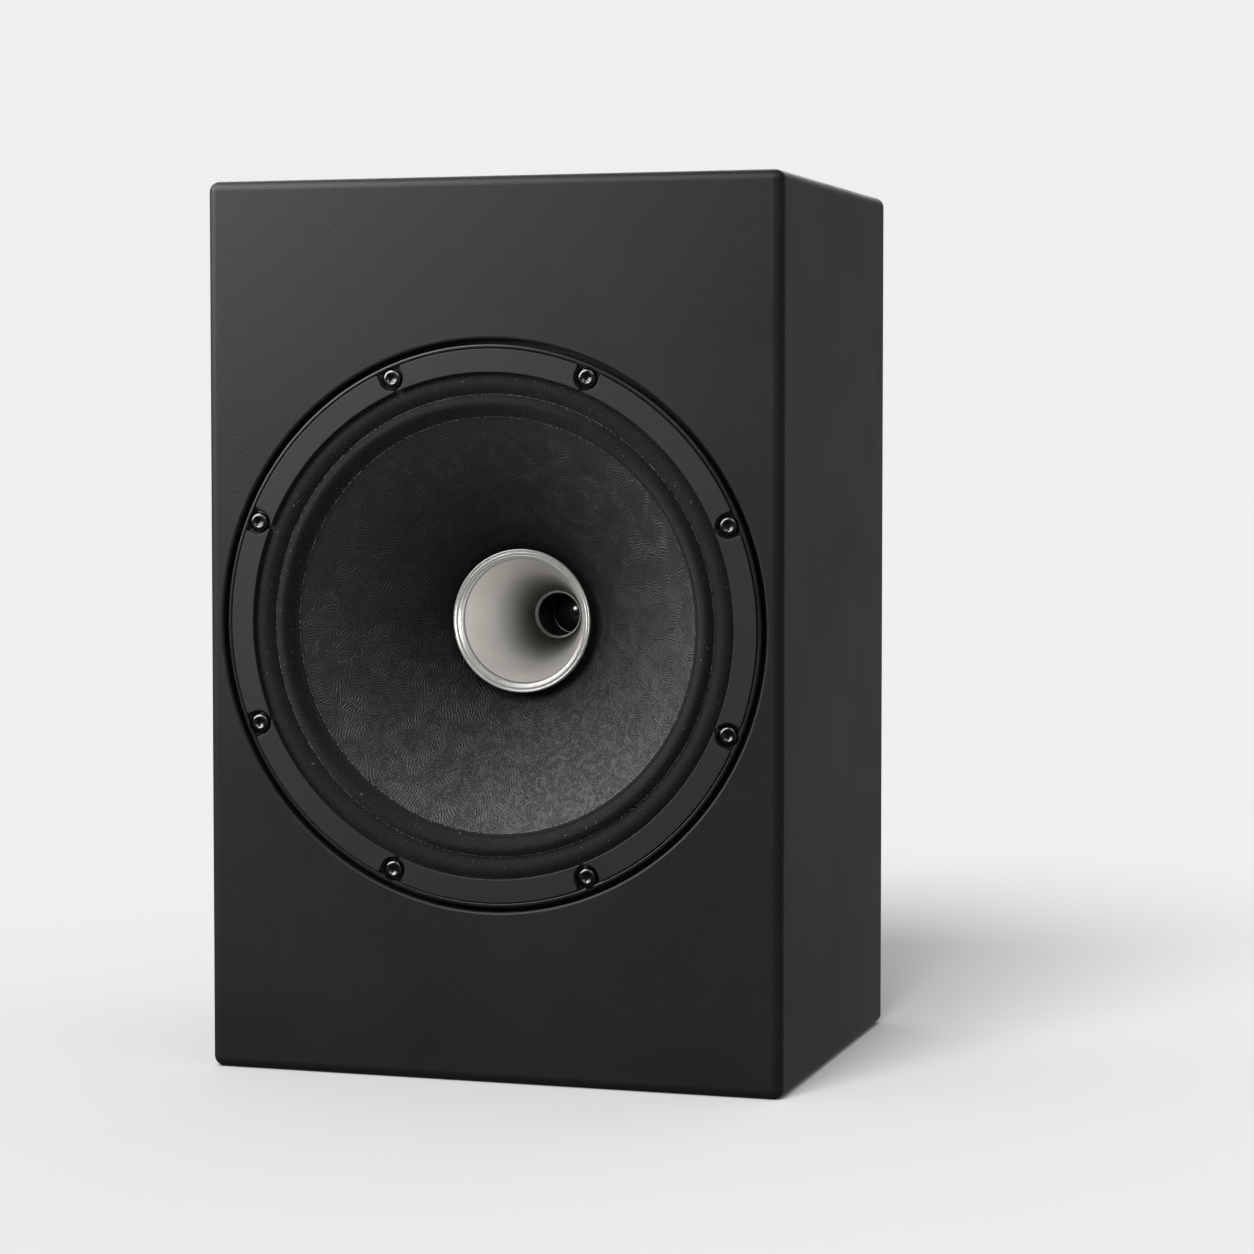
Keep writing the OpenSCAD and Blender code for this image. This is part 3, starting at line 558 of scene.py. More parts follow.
def winding(tree, shader):
    point = object_point(tree)
    turns = add(tree, "TexWave", {"Vector": point, "Scale": 900, "Distortion": 0.4},
                bands_direction="Z").outputs["Fac"]
    wire_up(tree, shader,
            Base_Color=two_tone(tree, turns, (0.22, 0.06, 0.02), (0.72, 0.30, 0.13)),
            Metallic=0.9, Roughness=0.3, Normal=bumped(tree, turns, 0.1))


def circuit_board(tree, shader):
    point = object_point(tree)
    cells = add(tree, "TexBrick", {"Vector": point, "Scale": 60}).outputs["Fac"]
    grain = fractal(tree, point, 800, 3)
    tone = math_node(tree, "ADD", math_node(tree, "MULTIPLY", cells, 0.5),
                     math_node(tree, "MULTIPLY", grain, 0.5))
    wire_up(tree, shader,
            Base_Color=two_tone(tree, tone, (0.01, 0.07, 0.03), (0.03, 0.16, 0.07)),
            Roughness=ramp(tree, grain, 0.3, 0.7, 0.3, 0.42), Normal=bumped(tree, tone, 0.03))


def fibre_weave(dark, light, scale, rough):
    def build(tree, shader):
        point = object_point(tree)
        weave = fractal(tree, stretched(tree, point, (scale, scale * 0.2, scale)), 1.0, 3)
        wire_up(tree, shader,
                Base_Color=two_tone(tree, weave, dark, light),
                Roughness=ramp(tree, weave, 0.3, 0.7, rough - 0.05, rough + 0.05),
                Normal=bumped(tree, weave, 0.05))
    return build


RECIPES = {
    "cabinet_paint": cabinet_paint,
    "raw_board": board,
    "foam": foam,
    "foam_seal": paint((0.015, 0.015, 0.016), (0.03, 0.03, 0.031), 0.9, 900, 0.2),
    "cast_frame": paint((0.010, 0.010, 0.0105), (0.016, 0.016, 0.0165), 0.30, 1500, 0.025, 0.7),
    "pad_rubber": pad_rubber,
    "black_steel": paint((0.13, 0.13, 0.133), (0.19, 0.19, 0.195), 0.23, 900, 0.006, 0.9, 1.0),
    "zinc": brushed((0.50, 0.50, 0.49), (0.64, 0.64, 0.62), 0.35),
    "surround_cloth": surround_cloth,
    "cone_paper": cone_paper,
    "former": fibre_weave((0.42, 0.24, 0.09), (0.62, 0.40, 0.18), 600, 0.4),
    "copper": winding,
    "spider_cloth": spider_cloth,
    "plated_steel": brushed((0.30, 0.30, 0.31), (0.42, 0.42, 0.43), 0.32),
    "ferrite": paint((0.022, 0.022, 0.024), (0.045, 0.045, 0.048), 0.6, 500, 0.08),
    "fibre_board": fibre_weave((0.05, 0.03, 0.015), (0.11, 0.07, 0.04), 400, 0.6),
    "horn_aluminium": horn_aluminium,
    "polished_rim": polished_rim,
    "black_plastic": paint((0.010, 0.010, 0.0105), (0.017, 0.017, 0.0175), 0.38, 1100, 0.02),
    "dome_film": dome_film,
    "glue_painted_glints": glue_painted_glints,
    "gold_brass": brushed((0.72, 0.48, 0.17), (0.86, 0.62, 0.26), 0.22),
    "tinned_brass": brushed((0.62, 0.58, 0.47), (0.75, 0.71, 0.60), 0.28),
    "red_plastic": paint((0.30, 0.012, 0.010), (0.38, 0.020, 0.016), 0.32, 1100, 0.02),
    "circuit_board": circuit_board,
    "nylon": paint((0.62, 0.61, 0.56), (0.72, 0.71, 0.67), 0.5, 700, 0.02),
    "capacitor_film": paint((0.30, 0.22, 0.03), (0.40, 0.30, 0.05), 0.28, 600, 0.02),
    "ceramic": paint((0.55, 0.54, 0.50), (0.66, 0.65, 0.61), 0.8, 900, 0.08),
    "wire_red": paint((0.30, 0.010, 0.008), (0.40, 0.020, 0.016), 0.42, 700, 0.02),
    "wire_blue": paint((0.012, 0.035, 0.22), (0.022, 0.06, 0.30), 0.42, 700, 0.02),
}


# ---------- mesh making ----------

def filleted(points, radius, steps=4):
    """Outline with its corners rounded; a point may carry its own radius as a third number."""
    out = []
    count = len(points)
    for i, point in enumerate(points):
        here = Vector(point[:2])
        r = point[2] if len(point) > 2 else radius
        if r <= 0:
            out.append(here)
            continue
        back = Vector(points[i - 1][:2]) - here
        ahead = Vector(points[(i + 1) % count][:2]) - here
        angle = back.angle(ahead)
        if math.pi - angle < 0.03:
            out.append(here)
            continue
        cut = min(r / math.tan(angle / 2), back.length * 0.48, ahead.length * 0.48)
        r = cut * math.tan(angle / 2)
        centre = here + (back.normalized() + ahead.normalized()).normalized() * (r / math.sin(angle / 2))
        first = here + back.normalized() * cut - centre
        last = here + ahead.normalized() * cut - centre
        start = math.atan2(first.y, first.x)
        sweep = math.atan2(last.y, last.x) - start
        sweep = (sweep + math.pi) % (2 * math.pi) - math.pi
        for k in range(steps + 1):
            a = start + sweep * k / steps
            out.append(centre + Vector((math.cos(a), math.sin(a))) * r)
    return out


def rounded_box_outline(width, height, radius, steps=EDGE_STEPS):
    corners = [(width / 2, height / 2), (-width / 2, height / 2),
               (-width / 2, -height / 2), (width / 2, -height / 2)]
    return filleted(corners, radius, steps)


def link(name, mesh):
    obj = bpy.data.objects.new(name, mesh)
    bpy.context.scene.collection.objects.link(obj)
    return obj


def solid(name, verts, faces, place):
    """Closed mesh from points in millimetres, put in place and with its faces turned outward."""
    mesh = bpy.data.meshes.new(name)
    mesh.from_pydata([tuple(c * MM for c in v) for v in verts], [], faces)
    mesh.transform(place)
    bm = bmesh.new()
    bm.from_mesh(mesh)
    bmesh.ops.remove_doubles(bm, verts=bm.verts, dist=1e-7)
    bmesh.ops.recalc_face_normals(bm, faces=bm.faces)
    bm.to_mesh(mesh)
    bm.free()
    return link(name, mesh)


def lathe(name, outline, turns=192, place=TO_DRIVER, shape=None):
    """Closed outline of (radius, height) turned round the axis; shape may move each point."""
    count = len(outline)
    verts = []
    for k in range(turns):
        a = 2 * math.pi * k / turns
        for i, (r, z) in enumerate(outline):
            if shape:
                r, z = shape(i, a, r, z)
            verts.append((r * math.cos(a), r * math.sin(a), z))
    faces = []
    for k in range(turns):
        n = (k + 1) % turns
        for i in range(count):
            j = (i + 1) % count
            faces.append((k * count + i, k * count + j, n * count + j, n * count + i))
    return solid(name, verts, faces, place)


def inset(outline, distance):
    """The outline moved inward by a small distance along its own normals."""
    count = len(outline)
    area = sum(outline[i - 1].x * outline[i].y - outline[i].x * outline[i - 1].y for i in range(count))
    side = 1 if area > 0 else -1
    out = []
    for i in range(count):
        before = (outline[i] - outline[i - 1]).normalized()
        after = (outline[(i + 1) % count] - outline[i]).normalized()
        normal = Vector((-before.y - after.y, before.x + after.x)) * side
        normal.normalize()
        out.append(outline[i] + normal * distance / max(normal.dot(Vector((-after.y, after.x)) * side), 0.5))
    return out


def prism(name, outline, low, high, round_low=0.0, round_high=0.0, place=TO_DRIVER, steps=3):
    """Outline raised from low to high, with its lower and upper edges rounded."""
    levels = []
    for k in range(steps + 1 if round_low else 1):
        a = math.pi / 2 * k / steps
        levels.append((round_low * (1 - math.sin(a)), low + round_low * (1 - math.cos(a))))
    for k in range(steps + 1 if round_high else 1):
        a = math.pi / 2 * k / steps
        levels.append((round_high * (1 - math.cos(a)), high - round_high * (1 - math.sin(a))))
    outline = [Vector(p) for p in outline]
    count = len(outline)
    verts = []
    for distance, z in levels:
        line = inset(outline, distance) if distance > 0 else outline
        verts += [(p.x, p.y, z) for p in line]
    faces = [tuple(range(count))[::-1], tuple(range(len(verts) - count, len(verts)))]
    for level in range(len(levels) - 1):
        a, b = level * count, (level + 1) * count
        for i in range(count):
            j = (i + 1) % count
            faces.append((a + i, a + j, b + j, b + i))
    return solid(name, verts, faces, place)


def joined(name, objects):
    bm = bmesh.new()
    for obj in objects:
        bm.from_mesh(obj.data)
        bpy.data.objects.remove(obj)
    mesh = bpy.data.meshes.new(name)
    bm.to_mesh(mesh)
    bm.free()
    return link(name, mesh)


def combine(obj, other, operation):
    """Cuts other out of obj, or adds it, and leaves only obj."""
    change = obj.modifiers.new("change", "BOOLEAN")
    change.operation = operation
    change.solver = "EXACT"
    change.object = other
    bake_modifiers(obj)
    bpy.data.objects.remove(other)
    return obj


def drill(obj, outline, turns, places):
    """Cuts the turned outline out of obj at each place."""
    combine(obj, joined("drills", [lathe("drill", outline, turns, at) for at in places]), "DIFFERENCE")


def bake_modifiers(obj):
    bpy.context.view_layer.update()
    ready = obj.evaluated_get(bpy.context.evaluated_depsgraph_get())
    mesh = bpy.data.meshes.new_from_object(ready)
    obj.modifiers.clear()
    obj.data = mesh


def finished(obj, slot, body, *replaced, sharp=35, look=None, weighted=True):
    """Gives a piece its material and shading, puts it on its body and hides what it stands for."""
    obj.data.materials.clear()
    obj.data.materials.append(material(look or slot))
    obj.data.shade_smooth()
    obj.data.set_sharp_from_angle(angle=math.radians(sharp))
    if weighted:
        even = obj.modifiers.new("even_shading", "WEIGHTED_NORMAL")
        even.keep_sharp = True
    if body:
        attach(obj, body)
    if replaced:
        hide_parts(*replaced)
    return obj


def around(count, radius, turn):
    """Placements spaced evenly on a circle round the driver's axis, with x pointing outward."""
    for i in range(count):
        a = turn + i * 2 * math.pi / count
        yield TO_DRIVER @ Matrix.Rotation(a, 4, "Z") @ Matrix.Translation((radius * MM, 0, 0))


def screw_spots():
    return around(BOLTS, BOLT_CIRCLE, BOLT_TURN)


# ---------- cabinet ----------

def rounded_slab(name, thickness, place):
    """Panel with its outer face on z = 0 and the edges of that face rounded."""
    mesh = bpy.data.meshes.new(name)
    bm = bmesh.new()
    bmesh.ops.create_cube(bm, size=1)
    for v in bm.verts:
        v.co = Vector((v.co.x * CAB_W, v.co.y * CAB_H, (v.co.z - 0.5) * thickness)) * MM
    outer = [e for e in bm.edges if any(v.co.z > -1e-6 for v in e.verts)]
    bmesh.ops.bevel(bm, geom=outer, offset=EDGE_R * MM, offset_type="OFFSET",
                    segments=EDGE_STEPS, profile=0.5, affect="EDGES")
    bm.to_mesh(mesh)
    bm.free()
    mesh.transform(place)
    return link(name, mesh)


def front_panel():
    middle = Matrix.Translation((0, FRONT_Y * MM, CAB_H / 2 * MM)) @ Matrix.Rotation(math.pi / 2, 4, "X")
    panel = rounded_slab("front_baffle", BAFFLE_T, middle)
    lip_r = 1.6
    over = 6
    mouth = [(RECESS_R + lip_r - lip_r * math.sin(a), -lip_r + lip_r * math.cos(a))
             for a in (math.pi / 2 * k / 8 for k in range(9))]
    outline = filleted([
        (0, over), (RECESS_R + lip_r, over), *mouth,
        (RECESS_R, -RECESS_Z, 0.6), (CUTOUT_R, -RECESS_Z), (CUTOUT_R, -BAFFLE_T - over),
        (0, -BAFFLE_T - over)], 0)
    combine(panel, lathe("recess_cutter", outline, 320), "DIFFERENCE")
    hole_r = BOLT_R + 1.3
    hole = [(0, 0), (hole_r, 0), (hole_r, -BAFFLE_T - over), (0, -BAFFLE_T - over)]
    drill(panel, hole, 32, screw_spots())
    finished(panel, "cabinet_paint", "cabinet", "front_panel", sharp=30)


def side_panels():
    inner = CAB_W / 2 - WALL_T
    place = Matrix.Translation((0, side_high.y, CAB_H / 2 * MM)) @ Matrix.Rotation(math.pi / 2, 4, "X")
    depth = (side_high.y - side_low.y) / MM
    rounded = [p for p in rounded_box_outline(CAB_W, CAB_H, EDGE_R) if p.x < -inner]
    left = rounded + [Vector((-inner, -CAB_H / 2)), Vector((-inner, CAB_H / 2))]
    for mirror, name in ((1, "left"), (-1, "right")):
        line = [(mirror * p.x, p.y) for p in left]
        panel = prism(name + "_side", line, 0, depth, place=place)
        finished(panel, "cabinet_paint", "cabinet", name + "_panel", sharp=30)


def back_panel():
    middle = Matrix.Translation((0, BACK_Y * MM, CAB_H / 2 * MM)) @ Matrix.Rotation(-math.pi / 2, 4, "X")
    panel = rounded_slab("back_board", WALL_T, middle)
    rebate = CUP_FLANGE_T + CUP_SEAL_T
    well = prism("well", rounded_box_outline(CUP_W + 2 * CUP_T + 1, CUP_H + 2 * CUP_T + 1, CUP_ROUND),
                 -WALL_T - 2, 2, place=TO_BACK)
    combine(panel, well, "DIFFERENCE")
    seat = prism("seat", rounded_box_outline(CUP_W + 2 * CUP_FLANGE + 1, CUP_H + 2 * CUP_FLANGE + 1,
                                             CUP_ROUND), -rebate, 2, place=TO_BACK)
    combine(panel, seat, "DIFFERENCE")
    finished(panel, "cabinet_paint", "cabinet", "back_panel", sharp=30)


# ---------- driver: frame, pads and screws ----------

def basket():
    flange = filleted([
        (BASKET_R, -LEDGE_Z, 0.5), (SURROUND_OUT + 0.1, -LEDGE_Z, 0.2),
        (SURROUND_OUT + 0.1, -PAD_T, 0.2), (FLANGE_R - RIM_W, -PAD_T, 0.3),
        (FLANGE_R - RIM_W, -RIM_DROP, 0.6), (FLANGE_R, -RIM_DROP, 0.8),
        (FLANGE_R, -FLANGE_BACK, 0.5), (WALL_R, -FLANGE_BACK, 0.5),
        (WALL_R, -21, 0.3), (BASKET_R, -21, 0.3)], 0.3)
    frame_ring = lathe("driver_frame", flange, 320)
    shelf_z = SPIDER_Z + 0.3
    low_ring = lathe("low_ring", filleted([
        (RING_IN, -PLATE_Z), (RING_OUT, -PLATE_Z), (RING_OUT, -RING_Z), (SHELF_IN + 8, -RING_Z),
        (SHELF_IN + 8, -shelf_z), (SHELF_IN, -shelf_z), (SHELF_IN, -RING_Z), (RING_IN, -RING_Z)],
        0.5, 2), 128)
    drop = 62
    foot = RING_OUT - 8
    side = [(BASKET_R + 0.4, -12), (WALL_R - 0.3, -12), (WALL_R - 0.3, -20), (RING_OUT - 0.2, -drop - 6),
            (RING_OUT - 0.2, -PLATE_Z + 1), (foot, -PLATE_Z + 1), (foot, -drop + 2), (BASKET_R + 0.4, -17)]
    arms = []
    upright = Matrix.Rotation(math.pi / 2, 4, "X") @ Matrix.Translation((0, 0, -SPOKE_W / 2 * MM))
    for i in range(SPOKES):
        turn = Matrix.Rotation(2 * math.pi * i / SPOKES, 4, "Z")
        arms.append(prism("arm", filleted(side, 1.5, 3), 0, SPOKE_W, 1.2, 1.2,
                          TO_DRIVER @ turn @ upright))
    combine(frame_ring, joined("arms", arms), "UNION")
    combine(frame_ring, low_ring, "UNION")
    pocket = filleted([(0, 1, 0), (WASHER_R + 0.3, 1, 0), (WASHER_R + 0.3, -SEAT_Z, 0.2),
                       (BOLT_R + 0.3, -SEAT_Z, 0), (BOLT_R + 0.3, -12, 0), (0, -12, 0)], 0)
    drill(frame_ring, pocket, 48, screw_spots())
    finished(frame_ring, "cast_frame", "cabinet", "basket", sharp=38)


def pad_outline(width_angle):
    """One gasket pad between two screws, on its own centre line."""
    half = width_angle / 2
    points = []

    def at(screw, along, out):
        """Point beside a screw: along the circle from it, at a radius from the driver's axis."""
        a = screw * half
        x, y = out, -screw * along
        return (x * math.cos(a) - y * math.sin(a), x * math.sin(a) + y * math.cos(a))

    steps = 12
    arc_steps = 40
    lead = math.asin(SLIT_W / 2 / NOTCH_R)
    for screw in (-1, 1):
        side = []
        side.append((*at(screw, SLIT_W / 2, math.sqrt(PAD_IN ** 2 - SLIT_W ** 2 / 4)), 0.8))
        for k in range(steps + 1):
            a = lead + (math.pi / 2 - lead) * k / steps
            point = at(screw, NOTCH_R * math.sin(a), BOLT_CIRCLE - NOTCH_R * math.cos(a))
            side.append((*point, 0.5 if k == 0 else 0))
        side.append((*at(screw, NOTCH_R, math.sqrt(PAD_OUT ** 2 - NOTCH_R ** 2)), 0.7))
        if screw < 0:
            start = half - math.asin(NOTCH_R / PAD_OUT)
            outer = [(PAD_OUT * math.cos(a), PAD_OUT * math.sin(a), 0)
                     for a in (-start + 2 * start * k / arc_steps for k in range(1, arc_steps))]
            points += side + outer
        else:
            start = half - math.asin(SLIT_W / 2 / PAD_IN)
            inner = [(PAD_IN * math.cos(a), PAD_IN * math.sin(a), 0)
                     for a in (start - 2 * start * k / arc_steps for k in range(1, arc_steps))]
            points += side[::-1] + inner
    return filleted(points, 0, 4)


def gasket_pads():
    step = 2 * math.pi / BOLTS
    outline = pad_outline(step)
    pads = []
    for i in range(BOLTS):
        turn = Matrix.Rotation(BOLT_TURN + step * (i + 0.5), 4, "Z")
        pads.append(prism("pad", outline, -PAD_T, 0, 0, 0.45, TO_DRIVER @ turn))
    finished(joined("gasket_segments", pads), "pad_rubber", "cabinet", "gasket_pads", sharp=40)


def washers():
    line = filleted([(BOLT_R + 0.2, -SEAT_Z), (WASHER_R, -SEAT_Z), (WASHER_R, -SEAT_Z + WASHER_T),
                     (BOLT_R + 0.2, -SEAT_Z + WASHER_T)], 0.25, 3)
    rings = [lathe("washer", line, 64, spot) for spot in screw_spots()]
    finished(joined("screw_washers", rings), "black_steel", "cabinet", "driver_washers", sharp=40)


def screws():
    """Button heads with a hex socket; each head is turned a little differently."""
    under = -SEAT_Z + WASHER_T
    top = under + HEAD_H
    mouth = HEX_KEY_R + 0.45
    land = mouth + 0.5
    skirt = 1.1
    dome = [Vector((land + (HEAD_R - land) * math.cos(a), under + skirt + (HEAD_H - skirt) * math.sin(a)))
            for a in (math.pi / 2 * k / 8 for k in range(9))]
    shank = filleted([(0, -BAFFLE_T - 3, 0), (BOLT_R, -BAFFLE_T - 3, 0.5), (BOLT_R, under, 0.2),
                      (HEAD_R - 0.15, under, 0.15), (HEAD_R, under + skirt, 0)], 0.1, 3)
    socket = [Vector((mouth, top - 0.12)), Vector((HEX_KEY_R + 0.12, top - 0.55)),
              Vector((HEX_KEY_R, top - 0.8)), Vector((HEX_KEY_R, top - 2.3)),
              Vector((HEX_KEY_R - 0.25, top - 2.4)), Vector((0, top - 2.7))]
    outline = shank[:-1] + dome + socket
    first_hex = len(outline) - 4

    def hexed(i, a, r, z):
        if i < first_hex or r < 0.01:
            return r, z
        corner = (a % (math.pi / 3)) - math.pi / 6
        return r * math.cos(math.pi / 6) / math.cos(corner), z

    heads = []
    for i, spot in enumerate(screw_spots()):
        turn = Matrix.Rotation(0.7 * i * i + 0.3, 4, "Z")
        heads.append(lathe("screw", outline, 72, spot @ turn, hexed))
    finished(joined("mounting_screws", heads), "black_steel", "cabinet", "driver_screws", sharp=42)


# ---------- driver: cone, surround and spider ----------

def cone_face(r):
    """Height of the cone's front face at a radius."""
    share = max((r - FORMER_R) / (CONE_R - FORMER_R), 0)
    return -NECK_Z + (NECK_Z - CONE_EDGE_Z) * share ** CONE_BOW


def skin(line, thickness):
    """Closed outline of a sheet that has the line as its front."""
    return line + [p - Vector((0, thickness)) for p in reversed(line)]


def hump(start, end, rise, steps=20):
    """Points from start to end, lifted by a round hump."""
    return [start.lerp(end, k / steps) + Vector((0, rise * math.sin(math.pi * k / steps)))
            for k in range(1, steps + 1)]


def follow_cone(obj, inner, outer):
    """The piece follows the cone inside one radius and the frame outside another."""
    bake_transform(obj, "cabinet", "woofer_cone",
             start=(outer * MM, FRONT_Y * MM, DRIVER_Z * MM),
             end=(inner * MM, FRONT_Y * MM, DRIVER_Z * MM))
    weights = obj.data.attributes["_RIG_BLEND"]
    for v in obj.data.vertices:
        r = math.hypot(v.co.x, v.co.z - DRIVER_Z * MM) / MM
        t = min(max((outer - r) / (outer - inner), 0), 1)
        weights.data[v.index].value = t * t * (3 - 2 * t)


def cone():
    steps = 110
    neck = FORMER_R + 0.05
    line = [Vector((r, cone_face(r))) for r in (neck + (CONE_R - neck) * k / steps
                                                for k in range(steps + 1))]
    outline = skin(line, CONE_T)
    ripple = 0.10

    def pressed(i, a, r, z):
        """Shallow uneven hollows of moulded paper, fading out at both edges."""
        edge = min((r - neck) / 8, (CONE_R - LAP_W - r) / 6, 1)
        if edge <= 0:
            return r, z
        place = Vector((r * math.cos(a), r * math.sin(a), 0))
        wave = noise.noise(place * 0.09) + 0.6 * noise.noise(place * 0.22)
        return r, z + ripple * edge * wave

    made = lathe("paper_cone", outline, 360, TO_DRIVER, pressed)
    finished(made, "cone_paper", "woofer_cone", "cone", sharp=50, weighted=False)


def surround():
    lift = SURROUND_T + 0.05
    start = Vector((CONE_R - LAP_W, cone_face(CONE_R - LAP_W) + lift))
    cone_edge = Vector((CONE_R, cone_face(CONE_R) + lift))
    lap_end = cone_edge + Vector((0.6, 0))
    valley = Vector((VALLEY_R, -VALLEY_Z))
    out_start = Vector((PAD_IN - 1, -LEDGE_Z + lift))
    out_end = Vector((SURROUND_OUT, -LEDGE_Z + lift))
    inner_rise = 5.2
    outer_rise = 2.9
    line = [start, cone_edge, lap_end, *hump(lap_end, valley, inner_rise),
            *hump(valley, out_start, outer_rise), out_end]
    roll = lathe("surround_rolls", skin(line, SURROUND_T), 384)
    finished(roll, "surround_cloth", None, "surround", sharp=60, weighted=False)
    follow_cone(roll, CONE_R + 0.6, PAD_IN - 1)
    # thin glue beads in the valley and at the cone edge, with painted glints
    for name, centre in (("valley_bead", valley + Vector((0, 0.1))),
                         ("edge_bead", start + Vector((-0.1, -0.25)))):
        size = 0.32
        ring = [centre + Vector((size * math.cos(a), size * 0.7 * math.sin(a)))
                for a in (2 * math.pi * k / 8 for k in range(8))]
        bead = lathe(name, ring, 384)
        finished(bead, "surround_cloth", None, look="glue_painted_glints", sharp=80, weighted=False)
        follow_cone(bead, CONE_R + 0.6, PAD_IN - 1)


def spider():
    wave_in, wave_out = FORMER_R + 5, SHELF_IN - 1
    turns = 4
    height = 1.6
    thick = 0.5
    steps = turns * 12
    top = -SPIDER_Z + thick / 2
    line = [Vector((FORMER_R + 0.05, top))]
    for k in range(steps + 1):
        share = k / steps
        line.append(Vector((wave_in + (wave_out - wave_in) * share,
                            top + height * math.sin(2 * math.pi * turns * share))))
    line.append(Vector((SHELF_IN + 7.5, top)))
    cloth = lathe("spider_cloth_ring", skin(line, thick), 192)
    finished(cloth, "spider_cloth", None, "spider", sharp=60, weighted=False)
    follow_cone(cloth, FORMER_R + 3, SHELF_IN)


# ---------- horn and tweeter ----------

def horn_wall_at(depth):
    """Radius of the horn's inner wall."""
    lip_depth = HORN_LIP_Z + 3
    share = (depth - lip_depth) / (THROAT_Z - lip_depth)
    return HORN_MOUTH_R + (THROAT_R + 1.5 - HORN_MOUTH_R) * share


def horn():
    lip = -HORN_LIP_Z
    mouth = HORN_MOUTH_R
    ridges = [
        (mouth, lip - 3, 0.6), (mouth + 0.6, lip - 1.6, 0.25), (mouth + 1.4, lip - 1.5, 0.3),
        (mouth + 2.1, lip - 0.5, 0.35), (mouth + 3.3, lip - 0.45, 0.35), (mouth + 3.7, lip - 0.9, 0.25),
        (mouth + 4.2, lip - 0.05, 0.35), (HORN_LIP_R - 0.2, lip, 0.4), (HORN_LIP_R, lip - 2.3, 0.4)]
    outside = [
        (mouth + 1, lip - 4.2, 0.6), (horn_wall_at(PLATE_Z) + 2.6, -PLATE_Z, 0),
        (NECK_R, -YOKE_Z + 8, 0.5), (NECK_R, -HORN_END, 0.3), (THROAT_R, -HORN_END, 0.2)]
    throat = [(THROAT_R, -THROAT_Z - 0.1, 0.3), (THROAT_R + 0.75, -THROAT_Z + 0.1, 0.35),
              (THROAT_R + 1.5, -THROAT_Z + 0.9, 0.5)]
    outline = filleted(ridges + outside + throat, 0.3, 4)
    wall_step = 2.4
    inner_wall = [Vector((horn_wall_at(d), -d))
                  for d in (THROAT_Z - 2 - wall_step * k for k in range(1, 26))]
    body = lathe("waveguide", outline + inner_wall, 256)
    finished(body, "horn_aluminium", "cabinet", "horn", sharp=40, weighted=False)
    body.data.materials.append(material("polished_rim"))
    centre_z = DRIVER_Z * MM
    for face in body.data.polygons:
        r = math.hypot(face.center.x, face.center.z - centre_z) / MM
        depth = face.center.y / MM - FRONT_Y
        at_lip = depth < HORN_LIP_Z + 2.9 and r > mouth + 0.2
        at_throat = depth > THROAT_Z - 1.2 and r < THROAT_R + 1.6
        face.material_index = 1 if at_lip or at_throat else 0
    return body


def throat_tube():
    front = -YOKE_Z
    flange_r = 48
    flange_t = 8
    tube_r = THROAT_R + 3
    disc_r = 34
    disc_t = 3
    tube = filleted([
        (NECK_R + 0.1, front), (flange_r, front), (flange_r, front - flange_t),
        (tube_r, front - flange_t), (tube_r, -TUBE_END + disc_t), (disc_r, -TUBE_END + disc_t),
        (disc_r, -TUBE_END), (THROAT_R - 0.8, -TUBE_END, 0.2), (THROAT_R - 0.8, -TUBE_END + 1.5, 0.2),
        (THROAT_R, -TUBE_END + 1.5, 0.1), (THROAT_R, -HORN_END - 0.1, 0.1),
        (NECK_R + 0.1, -HORN_END - 0.1)], 0.4, 3)
    made = lathe("tweeter_throat", tube, 128)
    hole_r = 2.3
    hole_circle = 32
    hole = [(0, front + 1), (hole_r, front + 1),
            (hole_r, front - flange_t - 1), (0, front - flange_t - 1)]
    drill(made, hole, 24, around(4, hole_circle, math.pi / 4))
    return finished(made, "black_plastic", "cabinet", "throat_tube", sharp=40)


def tweeter_dome():
    seat = -TUBE_END - 0.9
    sphere_r = (DOME_R ** 2 + DOME_RISE ** 2) / (2 * DOME_RISE)
    half = math.asin(DOME_R / sphere_r)
    steps = 28
    line = [Vector((sphere_r * math.sin(a), seat + sphere_r * (math.cos(a) - math.cos(half))))
            for a in (half * k / steps for k in range(steps + 1))]
    roll_w = 3.5
    line += hump(Vector((DOME_R, seat)), Vector((DOME_R + roll_w, seat)), 0.5, 10)
    line.append(Vector((DOME_R + roll_w + 3, seat)))
    dome = lathe("tweeter_film", skin(line, 0.25), 128)
    return finished(dome, "dome_film", "tweeter_diaphragm", "tweeter_dome", sharp=60, weighted=False)


# ---------- foam inside the box ----------

